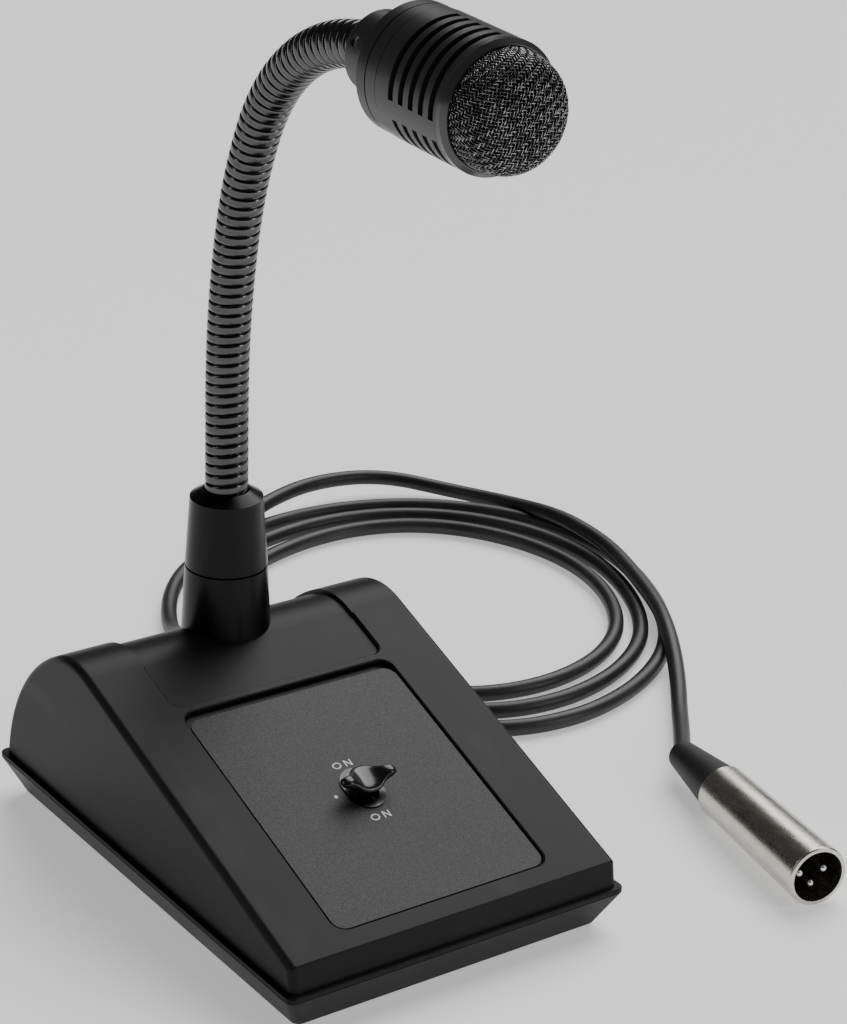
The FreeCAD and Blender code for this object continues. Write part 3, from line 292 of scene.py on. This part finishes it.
def slanted_letter(name, across, along):
    half, tall, bar = slanted_letter_width / 2, letter_height / 2, letter_stroke
    corners = ((-half, -tall), (-half + bar, -tall), (-half + bar, tall), (-half, tall),
               (half - bar, -tall), (half, -tall), (half, tall), (half - bar, tall),
               (-half + bar, tall), (-half + bar, tall - 1.7 * bar),
               (half - bar, -tall), (half - bar, -tall + 1.7 * bar))
    points = [(across + x, along + y) for x, y in corners]
    printed_mark(name, points, [(0, 1, 2, 3), (4, 5, 6, 7), (8, 9, 10, 11)])


for row, along in (("upper", 0.0618), ("lower", 0.0403)):
    round_letter(row + "_mark_round", -0.0025, along)
    slanted_letter(row + "_mark_slanted", 0.0013, along)
dot_steps = 24
dot_radius = 0.00062
printed_mark("middle_dot", [(-0.0092 + dot_radius * math.cos(2 * math.pi * k / dot_steps),
                             0.0512 + dot_radius * math.sin(2 * math.pi * k / dot_steps))
                            for k in range(dot_steps)], [tuple(range(dot_steps))])

# ---------------------------------------------------------------- talk switch
# The lever is moulded in gloss black nylon: a domed body over the slot and a rounded lobe to each side. It
# rocks on a steel pin in a zinc-plated frame; a contact block with brass lugs hangs under the frame.
switch_along = 0.0514
pin_depth = -0.0096
# half of the lever's length in stations: across, underside, top, half thickness, lean to the front
lever_stations = ((0.0000, 0.0018, 0.0044, 0.0053, 0.0000), (0.0018, 0.0018, 0.0046, 0.0051, 0.0001),
                  (0.0034, 0.0019, 0.0052, 0.0041, 0.0004), (0.0047, 0.0023, 0.0061, 0.0027, 0.0007),
                  (0.0060, 0.0031, 0.0067, 0.0020, 0.0010), (0.0073, 0.0039, 0.0068, 0.0019, 0.0011),
                  (0.0085, 0.0044, 0.0063, 0.0016, 0.0010), (0.0092, 0.0047, 0.0057, 0.0010, 0.0009))
section_points = 16
stem_half = (0.0023, 0.0028)
stem_round = 0.0008


def lever_mesh():
    """The lever as rings of round-cornered sections across the base, on a stem down to its pin."""
    mesh = bmesh.new()
    mirrored = [(-x, low, top, thick, lean) for x, low, top, thick, lean in reversed(lever_stations[1:])]
    rings = []
    for x, low, top, thick, lean in mirrored + list(lever_stations):
        ring = []
        for k in range(section_points):
            turn = 2 * math.pi * k / section_points
            c, s = math.cos(turn), math.sin(turn)
            y = math.copysign(abs(c) ** 0.75, c) * thick - lean
            z = (low + top) / 2 + math.copysign(abs(s) ** 0.75, s) * (top - low) / 2
            ring.append(mesh.verts.new(on_slope(x, switch_along + y, z)))
        rings.append(ring)
    for ring, following in zip(rings, rings[1:]):
        for k in range(section_points):
            after = (k + 1) % section_points
            mesh.faces.new((ring[k], ring[after], following[after], following[k]))
    mesh.faces.new(reversed(rings[0]))
    mesh.faces.new(rings[-1])
    # stem, wider at the pin
    levels = ((pin_depth - 0.0040, 1.0), (pin_depth - 0.0034, 1.0), (-0.0030, 1.0),
              (0.0024, 1.0), (0.0026, 0.95))
    stems = []
    for height, share in levels:
        ring = []
        for cx, cy, first in ((1, 1, 0), (-1, 1, 90), (-1, -1, 180), (1, -1, 270)):
            for step in (0, 30, 60, 90):
                turn = math.radians(first + step)
                ring.append(mesh.verts.new(on_slope(
                    share * (cx * (stem_half[0] - stem_round) + stem_round * math.cos(turn)),
                    switch_along + share * (cy * (stem_half[1] - stem_round) + stem_round * math.sin(turn)),
                    height)))
        stems.append(ring)
    for ring, following in zip(stems, stems[1:]):
        for k in range(len(ring)):
            after = (k + 1) % len(ring)
            mesh.faces.new((ring[k], ring[after], following[after], following[k]))
    mesh.faces.new(reversed(stems[0]))
    mesh.faces.new(stems[-1])
    bmesh.ops.recalc_face_normals(mesh, faces=mesh.faces)
    return mesh


def new_piece(name, mesh, material, subdivisions=0):
    """Turn built mesh data into a smooth-shaded piece with its finish."""
    data = bpy.data.meshes.new(name)
    mesh.to_mesh(data)
    mesh.free()
    data.materials.append(material)
    for face in data.polygons:
        face.use_smooth = True
    piece = bpy.data.objects.new(name, data)
    bpy.context.scene.collection.objects.link(piece)
    if subdivisions:
        rounding = piece.modifiers.new("rounding", "SUBSURF")
        rounding.levels = subdivisions
        rounding.render_levels = subdivisions
    return piece


def gloss_nylon():
    """Gloss black moulding with faint flow marks and finger smears."""
    material, inputs, start = new_finish("gloss_nylon", (0.006, 0.006, 0.007), 0.2, Specular_IOR_Level=0.55)
    smear = grain(start, 260.0, 4.0, (1.0, 0.4, 1.0))
    flow = grain(start, 900.0, 2.0)
    join(inputs, "Base Color", two_tone(start, flow, (0.005, 0.005, 0.0055), (0.009, 0.009, 0.0095)))
    join(inputs, "Roughness", 0.16 + 0.16 * smear)
    join(inputs, "Normal", start.node("Bump", Height=flow, Strength=0.2, Distance=0.00004))
    return material


lever_nylon = gloss_nylon()
lever = new_piece("talk_lever", lever_mesh(), lever_nylon, 2)
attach(lever, "lever")
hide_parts("switch_lever")
finish_nodes(lever_nylon, "switch_bezel")
finish_nodes(screw_zinc, "switch_frame", "lever_pin", "switch_screws")
finish_nodes(black_nylon, "switch_contact_block")
finish_nodes(turned_brass, "switch_terminals")

# ---------------------------------------------------------------- pedestal
# Two turned aluminium cones in satin black paint, parted by a fine seam. A hollow brass stud runs down
# through them and the housing to a steel washer and nut.


def satin_paint(name, shade, roughness):
    """Satin black paint over turned metal: fine spray texture, faint cloudy tone and a soft clear top."""
    material, inputs, start = new_finish(name, (shade, shade, shade * 1.05), roughness,
                                         Specular_IOR_Level=0.15, Coat_Roughness=0.2)
    spray = grain(start, 3200.0, 2.0)
    cloud = grain(start, 60.0, 3.0)
    join(inputs, "Base Color", two_tone(start, cloud, (shade * 0.85,) * 3, (shade * 1.25,) * 3))
    join(inputs, "Roughness", roughness + 0.1 * (cloud - 0.5) + 0.05 * (spray - 0.5))
    join(inputs, "Coat Weight", 0.03 + 0.06 * cloud)
    join(inputs, "Normal", start.node("Bump", Height=spray, Strength=0.3, Distance=0.00002))
    return material


pedestal_paint = satin_paint("pedestal_paint", 0.003, 0.26)
finish_nodes(pedestal_paint, "pedestal_lower", "pedestal_upper")
finish_nodes(turned_brass, "neck_stud")
finish_nodes(screw_zinc, "neck_washer", "neck_nut")

# ---------------------------------------------------------------- gooseneck
# The neck is a steel strip wound into a tight tube and blacked to a gloss; each turn is a flat band with
# rounded edges, and neighbouring turns meet in a narrow groove. It is held in the pedestal and the collar.
neck_radius = 0.0065
winding_pitch = 0.0032
neck_foot = (0.0433, 0.1014)
straight_run = 0.0311
neck_bends = ((0.258, 0.0, 12.0), (0.139, 12.0, 26.0), (0.0635, 26.0, 92.4))
neck_length = straight_run + sum(radius * math.radians(stop - start) for radius, start, stop in neck_bends)
neck_joints = (0.0140, 0.0420, 0.0560, 0.0700, 0.0840, 0.0990, 0.1190, 0.1360, 0.1530, 0.1685, 0.1845)
bend_reach = 0.0052
steps_a_turn = 48
# the strip's section: place across the pitch, depth below the neck's radius
strip_section = ((0.0, 0.00085), (0.05, 0.00042), (0.11, 0.00016), (0.20, 0.00005), (0.35, 0.0), (0.65, 0.0),
                 (0.80, 0.00005), (0.89, 0.00016), (0.95, 0.00042), (1.0, 0.00085))


def neck_place(s):
    """Middle of the neck at a length from its foot, and how far it has turned from upright."""
    y, z, angle = neck_foot[0], neck_foot[1], 0.0
    run = min(s, straight_run)
    z += run
    left = s - run
    for radius, start, stop in neck_bends:
        start, stop = math.radians(start), math.radians(stop)
        turned = min(left / radius, stop - start)
        angle = start + turned
        y += radius * (math.cos(angle) - math.cos(start))
        z += radius * (math.sin(angle) - math.sin(start))
        left -= radius * turned
        if left <= 1e-9:
            break
    left = max(left, 0.0)
    return Vector((0.0, y - left * math.sin(angle), z + left * math.cos(angle))), angle


def wound_strip(first_step, last_step):
    """A stretch of the winding: the strip's section carried round the neck in a helix."""
    mesh = bmesh.new()
    rows = []
    for step in range(first_step, last_step + 1):
        turn = 2 * math.pi * step / steps_a_turn
        row = []
        for share, depth in strip_section:
            middle, angle = neck_place(winding_pitch * (step / steps_a_turn + share))
            side = math.sin(turn)
            across = Vector((math.cos(turn), side * math.cos(angle), side * math.sin(angle)))
            row.append(mesh.verts.new(middle + across * (neck_radius - depth)))
        rows.append(row)
    for row, following in zip(rows, rows[1:]):
        for k in range(len(row) - 1):
            mesh.faces.new((row[k], following[k], following[k + 1], row[k + 1]))
    bmesh.ops.remove_doubles(mesh, verts=mesh.verts, dist=1e-6)
    bmesh.ops.recalc_face_normals(mesh, faces=mesh.faces)
    return mesh


def blacked_steel():
    """Gloss black finish on a steel strip, worn to bare edges beside the grooves."""
    material, inputs, start = new_finish("blacked_steel", (0.012, 0.012, 0.013), 0.2, 1.0)
    drawn = grain(start, 1500.0, 2.0)
    cloud = grain(start, 120.0, 3.0)
    edge = start.node("NewGeometry", output=7).over(0.505, 0.53)
    shade = 0.35 * cloud + 0.65 * edge
    join(inputs, "Base Color", two_tone(start, shade, (0.016, 0.016, 0.0165), (0.12, 0.12, 0.122)))
    join(inputs, "Roughness", 0.17 + 0.12 * cloud)
    join(inputs, "Normal", start.node("Bump", Height=drawn, Strength=0.2, Distance=0.00003))
    return material


neck_black = blacked_steel()
middles = [(a + b) / 2 for a, b in zip(neck_joints, neck_joints[1:])]
marks = [-0.0015] + [middle - winding_pitch / 2 for middle in middles] + [neck_length + 0.0015]
steps = [round(mark / winding_pitch * steps_a_turn) for mark in marks]
for number, joint in enumerate(neck_joints):
    winding = wound_strip(steps[number], steps[number + 1])
    stretch = new_piece("neck_winding_%02d" % (number + 1), winding, neck_black)
    low, _ = neck_place(joint - bend_reach)
    high, _ = neck_place(joint + bend_reach)
    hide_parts("gooseneck_%02d" % (number + 1))
    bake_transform(stretch)
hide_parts("gooseneck_12")

# ---------------------------------------------------------------- head
# Turned aluminium in satin black: a collar held on the neck by a grub screw, a rear cap with fine grooves,
# a slotted sleeve with fine gauze behind its slots and a threaded front ring with a bevelled edge.


def black_anodised(name, shade, roughness):
    """Satin black anodised aluminium with faint turning rings."""
    material, inputs, start = new_finish(name, (shade,) * 3, roughness, 0.55, Specular_IOR_Level=0.5)
    rings = grain(start, 2400.0, 2.0, (0.1, 1.0, 0.1))
    cloud = grain(start, 70.0, 3.0)
    join(inputs, "Base Color", two_tone(start, cloud, (shade * 0.85,) * 3, (shade * 1.2,) * 3))
    join(inputs, "Roughness", roughness + 0.08 * (cloud - 0.5) + 0.06 * (rings - 0.5))
    join(inputs, "Normal", start.node("Bump", Height=rings, Strength=0.3, Distance=0.00002))
    return material


def woven_gauze():
    """Very fine black gauze: crossed threads as bumps and shade."""
    material, inputs, start = new_finish("fine_gauze", (0.01, 0.01, 0.01), 0.5, 0.5)
    place = start.node("TexCoord", output=3)
    along = start.node("TexWave", {"bands_direction": "Y"}, output=1, Vector=place, Scale=400.0)
    up = start.node("TexWave", {"bands_direction": "Z"}, output=1, Vector=place, Scale=400.0)
    weave = along.maths("MAXIMUM", along, up)
    join(inputs, "Base Color", two_tone(start, weave, (0.001, 0.001, 0.001), (0.02, 0.02, 0.02)))
    join(inputs, "Normal", start.node("Bump", Height=weave, Strength=0.6, Distance=0.0001))
    return material


head_black = black_anodised("head_black", 0.045, 0.36)
ring_black = black_anodised("ring_black", 0.07, 0.24)
finish_nodes(head_black, "head_collar", "head_back_cap", "head_sleeve")
finish_nodes(ring_black, "front_ring")
finish_nodes(screw_zinc, "grub_screw")
finish_nodes(woven_gauze(), "slot_gauze")

# ---------------------------------------------------------------- capsule
# A moving-coil capsule floats in a rubber ring: a zinc-plated cup, a dark ferrite magnet, an iron pole plate,
# a copper voice coil on a clear film diaphragm and a perforated cover.
enamelled_wire = turned_metal("enamelled_wire", (0.75, 0.38, 0.20), 0.35, 0.0003, 0.00005)
clear_film = moulded_plastic("clear_film", (0.55, 0.56, 0.52), (0.65, 0.66, 0.62), 0.2, 0.001, 0.00002)
ferrite = moulded_plastic("ferrite", (0.03, 0.03, 0.032), (0.05, 0.05, 0.052), 0.55, 0.0005, 0.00003)
finish_nodes(screw_zinc, "capsule_housing", "capsule_pole", "capsule_cover")
finish_nodes(ferrite, "capsule_magnet")
finish_nodes(enamelled_wire, "voice_coil")
finish_nodes(clear_film, "capsule_diaphragm")
finish_nodes(gland_rubber, "capsule_mount")

# ---------------------------------------------------------------- grille
# Black steel wire in a two-over, two-under weave, pressed into a flat-topped dome and held by the front ring.
# A foam pad fills the dome behind it and stops wind noise.
collar_reach = 0.0133
dome_foot = 0.0375
dome_radius = 0.01605
dome_height = 0.0138
dome_side_power = 0.51
dome_top_power = 0.69
wire_radius = 0.00021
wire_gap = 0.00092
wire_crimp = 0.0002
wire_step = 0.0003
wire_sides = 5
weave_turn = math.radians(78.0)


def foam_finish():
    """Open black foam: small round cells, with painted shade darkening their bottoms."""
    material, inputs, start = new_finish("open_foam", (0.004, 0.004, 0.004), 0.9)
    cells = start.node("TexVoronoi", Vector=start.node("TexCoord", output=3), Scale=1400.0)
    # painted shade: colour darkens towards each cell's middle, where its hollow is deepest
    join(inputs, "Base Color", two_tone(start, cells, (0.002, 0.002, 0.002), (0.008, 0.008, 0.008)))
    join(inputs, "Normal", start.node("Bump", Height=cells, Strength=0.8, Distance=0.0003))
    return material


finish_nodes(foam_finish(), "foam_liner")
sweep = np.linspace(0.0, math.pi / 2, 400)
dome_r = dome_radius * np.sin(sweep) ** dome_side_power
dome_h = dome_height * np.cos(sweep) ** dome_top_power
dome_arc = np.concatenate([[0.0], np.cumsum(np.hypot(np.diff(dome_r), np.diff(dome_h)))])
tip, tip_angle = neck_place(neck_length)
head_out = Vector((0.0, -math.sin(tip_angle), math.cos(tip_angle)))
head_up = Vector((0.0, math.cos(tip_angle), math.sin(tip_angle)))
head_place = tip + head_out * collar_reach
head_axes = np.array(((1.0, 0.0, 0.0), tuple(head_up), tuple(head_out)))


def on_dome(flat, lift):
    """Points of the flat wire cloth laid over the dome, lifted along its outward normal."""
    spread = np.hypot(flat[:, 0], flat[:, 1])
    way = flat / np.maximum(spread, 1e-9)[:, None]
    small = 1e-4
    r, h = np.interp(spread, dome_arc, dome_r), np.interp(spread, dome_arc, dome_h)
    dr = np.interp(spread + small, dome_arc, dome_r) - np.interp(spread - small, dome_arc, dome_r)
    dh = np.interp(spread + small, dome_arc, dome_h) - np.interp(spread - small, dome_arc, dome_h)
    size = np.hypot(dr, dh) + 1e-12
    out_r, out_h = -dh / size, dr / size
    depth = lift - wire_radius - wire_crimp
    place = np.column_stack((way * (r + out_r * depth)[:, None], h + out_h * depth + dome_foot))
    normal = np.column_stack((way * out_r[:, None], out_h))
    return place, normal


def wire_cloth():
    """Every wire of the dome as a thin round tube that goes over two and under two."""
    mesh = bmesh.new()
    reach = dome_arc[-1]
    count = int(reach / wire_gap)
    c, s = math.cos(weave_turn), math.sin(weave_turn)
    for direction in (0, 1):
        for index in range(-count, count + 1):
            beside = (index + 0.5) * wire_gap
            if abs(beside) > reach - wire_gap:
                continue
            half = math.sqrt(reach ** 2 - beside ** 2)
            t = np.linspace(-half, half, max(8, int(2 * half / wire_step)))
            phase = math.pi / 2 * (t / wire_gap - 0.5 + index) + math.pi / 4
            wave = np.cos(phase) * (1 if direction == 0 else -1)
            lift = wire_crimp * np.clip(1.35 * wave, -1.0, 1.0)
            level = np.full_like(t, beside)
            flat = np.column_stack((t, level) if direction == 0 else (level, t))
            flat = np.column_stack((flat[:, 0] * c - flat[:, 1] * s, flat[:, 0] * s + flat[:, 1] * c))
            place, normal = on_dome(flat, lift)
            along = np.gradient(place, axis=0)
            along /= np.linalg.norm(along, axis=1)[:, None]
            beside_way = np.cross(along, normal)
            beside_way /= np.linalg.norm(beside_way, axis=1)[:, None]
            out = np.cross(beside_way, along)
            rings = []
            for k in range(wire_sides):
                turn = 2 * math.pi * k / wire_sides
                points = place + wire_radius * (math.cos(turn) * beside_way + math.sin(turn) * out)
                rings.append([mesh.verts.new(Vector(p) + head_place) for p in points @ head_axes])
            for k in range(wire_sides):
                ring, beside_ring = rings[k], rings[(k + 1) % wire_sides]
                for a in range(len(t) - 1):
                    mesh.faces.new((ring[a], ring[a + 1], beside_ring[a + 1], beside_ring[a]))
    bmesh.ops.recalc_face_normals(mesh, faces=mesh.faces)
    return mesh


def black_wire():
    """Blacked steel wire, bright in random patches where the black has worn."""
    material, inputs, start = new_finish("black_wire", (0.05, 0.05, 0.052), 0.3, 1.0)
    wear = grain(start, 900.0, 3.0)
    join(inputs, "Base Color", two_tone(start, wear.over(0.4, 0.7), (0.05, 0.05, 0.051), (0.34, 0.34, 0.345)))
    join(inputs, "Roughness", 0.18 + 0.14 * wear)
    return material


grille = new_piece("wire_grille", wire_cloth(), black_wire())
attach(grille, "head")
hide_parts("grille_dome")

# ---------------------------------------------------------------- lead
# The lead is a 5.6 mm screened microphone cable in a satin black jacket. It leaves the rear of the base
# through a rubber gland, lies on the table in loose turns, crosses over them and ends in the plug.
cord_diameter = 0.0056
gland_way_out = (0.0315, 0.0994, 0.0220)
lead_route = (gland_way_out, (0.0320, 0.1114, 0.0199), (0.0336, 0.1230, 0.0146), (0.0366, 0.1342, 0.0084),
              (0.0410, 0.1464, 0.0042), (0.0470, 0.1588, 0.0032), (0.0550, 0.1716, 0.0031),
              (0.0650, 0.1832, 0.0031))
tail_route = ((0.1930, 0.0720, 0.0090), (0.1846, 0.0554, 0.0090), (0.1756, 0.0396, 0.0068),
              (0.1654, 0.0244, 0.0042), (0.1544, 0.0102, 0.0034), (0.1450, -0.0022, 0.0044),
              (0.1368, -0.0124, 0.0062), (0.1295, -0.0212, 0.0081))
# how far each turn reaches from the coil's middle, in eight directions, a half step past left, rear left,
# rear, rear right, right, front right, front and front left
coil_middle = (0.134, 0.117)
coil_reaches = (0.096, 0.094, 0.090, 0.083, 0.076, 0.085, 0.096, 0.079,
                0.088, 0.084, 0.081, 0.073, 0.068, 0.075, 0.083, 0.073,
                0.080, 0.073, 0.071, 0.063, 0.060, 0.065, 0.070, 0.067,
                0.072, 0.091, 0.109, 0.081, 0.070)
first_direction = -67.5
first_point = 2
points_between = 3
on_table = 0.0029
on_lead = 0.0088
# stretches where the last turn climbs over the others, in eighths of a turn from the coil's first reach
crossings = ((23.6, 24.3, 25.8, 26.4), (26.4, 27.0, 28.5, 28.5))


def coil_reach(step):
    """The reach at a place between two of the eight directions, on a smooth curve."""
    first = min(int(step), len(coil_reaches) - 2)
    part = step - first
    a, b, c, d = (coil_reaches[min(max(first + k, 0), len(coil_reaches) - 1)] for k in (-1, 0, 1, 2))
    return b + part / 2 * (c - a + part * (2 * a - 5 * b + 4 * c - d + part * (3 * (b - c) + d - a)))


def coil_height(step):
    """Height of the lead's middle: on the table, or on the turns that it crosses."""
    lift = 0.0
    for rise, top, leave, down in crossings:
        if rise < step < down or step == top:
            up = min(1.0, (step - rise) / (top - rise))
            off = 1.0 if down == leave else min(1.0, (down - step) / (down - leave))
            share = min(up, off)
            lift = max(lift, share * share * (3 - 2 * share))
    return on_table + lift * (on_lead - on_table)


coil_points = []
last_step = len(coil_reaches) - 1
for count in range(first_point, last_step * points_between):
    step = count / points_between
    turn = math.radians(first_direction + 45.0 * step)
    reach = coil_reach(step)
    coil_points.append((coil_middle[0] + reach * math.sin(turn), coil_middle[1] + reach * math.cos(turn),
                        coil_height(step)))

curve = bpy.data.curves.new("microphone_lead", "CURVE")
curve.dimensions = "3D"
curve.bevel_depth = cord_diameter / 2
curve.bevel_resolution = 6
curve.resolution_u = 10
spline = curve.splines.new("NURBS")
all_points = list(lead_route) + coil_points + list(tail_route)
spline.points.add(len(all_points) - 1)
for point, place in zip(spline.points, all_points):
    point.co = (*place, 1.0)
spline.order_u = 3
spline.use_endpoint_u = True
lead = bpy.data.objects.new("microphone_lead", curve)
bpy.context.scene.collection.objects.link(lead)


def cable_jacket(name):
    """Extruded jacket: satin, with faint lay lines, dust and handling shine."""
    material, inputs, start = new_finish(name, (0.016, 0.016, 0.017), 0.4, Specular_IOR_Level=0.5)
    lay = grain(start, 420.0, 3.0)
    dust = grain(start, 60.0, 4.0)
    join(inputs, "Base Color", two_tone(start, dust.over(0.4, 0.75),
                                        (0.013, 0.013, 0.014), (0.026, 0.026, 0.028)))
    join(inputs, "Roughness", 0.36 + 0.18 * dust)
    join(inputs, "Normal", start.node("Bump", Height=lay, Strength=0.3, Distance=0.0001))
    return material


jacket = cable_jacket("cable_jacket")
curve.materials.append(jacket)
finish_nodes(jacket, "inner_lead")
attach(lead, "base")
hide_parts("cord_lead", "cord_coil", "cord_tail")

# ---------------------------------------------------------------- plug
# A 3-pin line plug: a zinc shell plated in satin nickel, a dark moulded insert with three plated pins, held
# by one small screw, a split chuck that grips the lead and a black rubber boot.


def satin_nickel(name, colour, roughness):
    """Satin nickel plate: fine blasted grain with brushed streaks along the shell."""
    material, inputs, start = new_finish(name, colour, roughness, 1.0)
    blast = grain(start, 3000.0, 3.0)
    streak = grain(start, 700.0, 3.0, (1.0, 0.15, 1.0))
    warm = tuple(part * shift for part, shift in zip(colour, (0.86, 0.84, 0.80)))
    join(inputs, "Base Color", two_tone(start, streak.over(0.3, 0.75), warm, colour))
    join(inputs, "Roughness", roughness + 0.18 * (blast - 0.5) + 0.1 * (streak - 0.5))
    join(inputs, "Normal", start.node("Bump", Height=blast, Strength=0.35, Distance=0.00003))
    return material


shell_nickel = satin_nickel("shell_nickel", (0.66, 0.64, 0.60), 0.27)
pin_nickel = satin_nickel("pin_nickel", (0.80, 0.79, 0.76), 0.16)
insert_brown = moulded_plastic("insert_brown", (0.012, 0.009, 0.007), (0.020, 0.015, 0.012),
                               0.4, 0.0005, 0.00003)
boot_rubber = moulded_rubber("boot_rubber", 0.010, 0.55)
finish_nodes(shell_nickel, "plug_shell")
finish_nodes(pin_nickel, "plug_pins", "plug_screw")
finish_nodes(insert_brown, "plug_insert")
finish_nodes(black_nylon, "plug_chuck")
finish_nodes(boot_rubber, "plug_boot")

# ---------------------------------------------------------------- table, light and camera
# A plain pale table top, soft studio light from large panels and the camera at its product-shot angle.
table = bpy.data.meshes.new("table_top")
reach = 4.0
table.from_pydata([(-reach, -reach, 0), (reach, -reach, 0), (reach, reach, 0), (-reach, reach, 0)],
                  [], [(0, 1, 2, 3)])
table_top = bpy.data.objects.new("table_top", table)
bpy.context.scene.collection.objects.link(table_top)
table_white, table_inputs, _ = new_finish("table_white", (0.90, 0.90, 0.90), 0.7)
table_inputs["Emission Color"].default_value = (1.0, 1.0, 1.0, 1.0)
table_inputs["Emission Strength"].default_value = 0.45
table.materials.append(table_white)

world = bpy.data.worlds.new("studio")
world.use_nodes = True
world.node_tree.nodes["Background"].inputs["Color"].default_value = (1.0, 1.0, 1.0, 1.0)
world.node_tree.nodes["Background"].inputs["Strength"].default_value = 0.05
bpy.context.scene.world = world


def place_light(data, place, aim):
    """Hang a light at a place, facing its aim."""
    light = bpy.data.objects.new(data.name, data)
    light.location = place
    light.rotation_euler = (Vector(aim) - Vector(place)).to_track_quat("-Z", "Y").to_euler()
    bpy.context.scene.collection.objects.link(light)


def light_panel(name, place, aim, width, height, power):
    """A soft rectangular light."""
    data = bpy.data.lights.new(name, "AREA")
    data.shape = "RECTANGLE"
    data.size = width
    data.size_y = height
    data.energy = power
    place_light(data, place, aim)


overhead = bpy.data.lights.new("overhead", "SUN")
overhead.energy = 2.6
overhead.angle = math.radians(50.0)
place_light(overhead, (0.53, 0.34, 0.87), (0.0, 0.0, 0.1))
light_panel("left_strip", (-0.75, 0.25, 0.55), (0.0, 0.05, 0.15), 0.10, 0.8, 0.8)
light_panel("front_strip", (0.55, -0.75, 0.45), (0.0, 0.0, 0.15), 0.12, 0.6, 2.0)

camera_place = Vector((-0.42717, -0.65787, 0.45303))
camera_right = Vector((0.82182, -0.56894, 0.03027))
camera_up = Vector((0.20363, 0.34294, 0.91702))
camera_back = Vector((-0.53211, -0.74746, 0.39769))
camera_data = bpy.data.cameras.new("camera")
camera_data.lens = 105.47
camera_data.sensor_width = 36.0
camera = bpy.data.objects.new("camera", camera_data)
turned = Matrix((camera_right, camera_up, camera_back)).transposed().to_4x4()
camera.matrix_world = Matrix.Translation(camera_place) @ turned
bpy.context.scene.collection.objects.link(camera)
bpy.context.scene.camera = camera
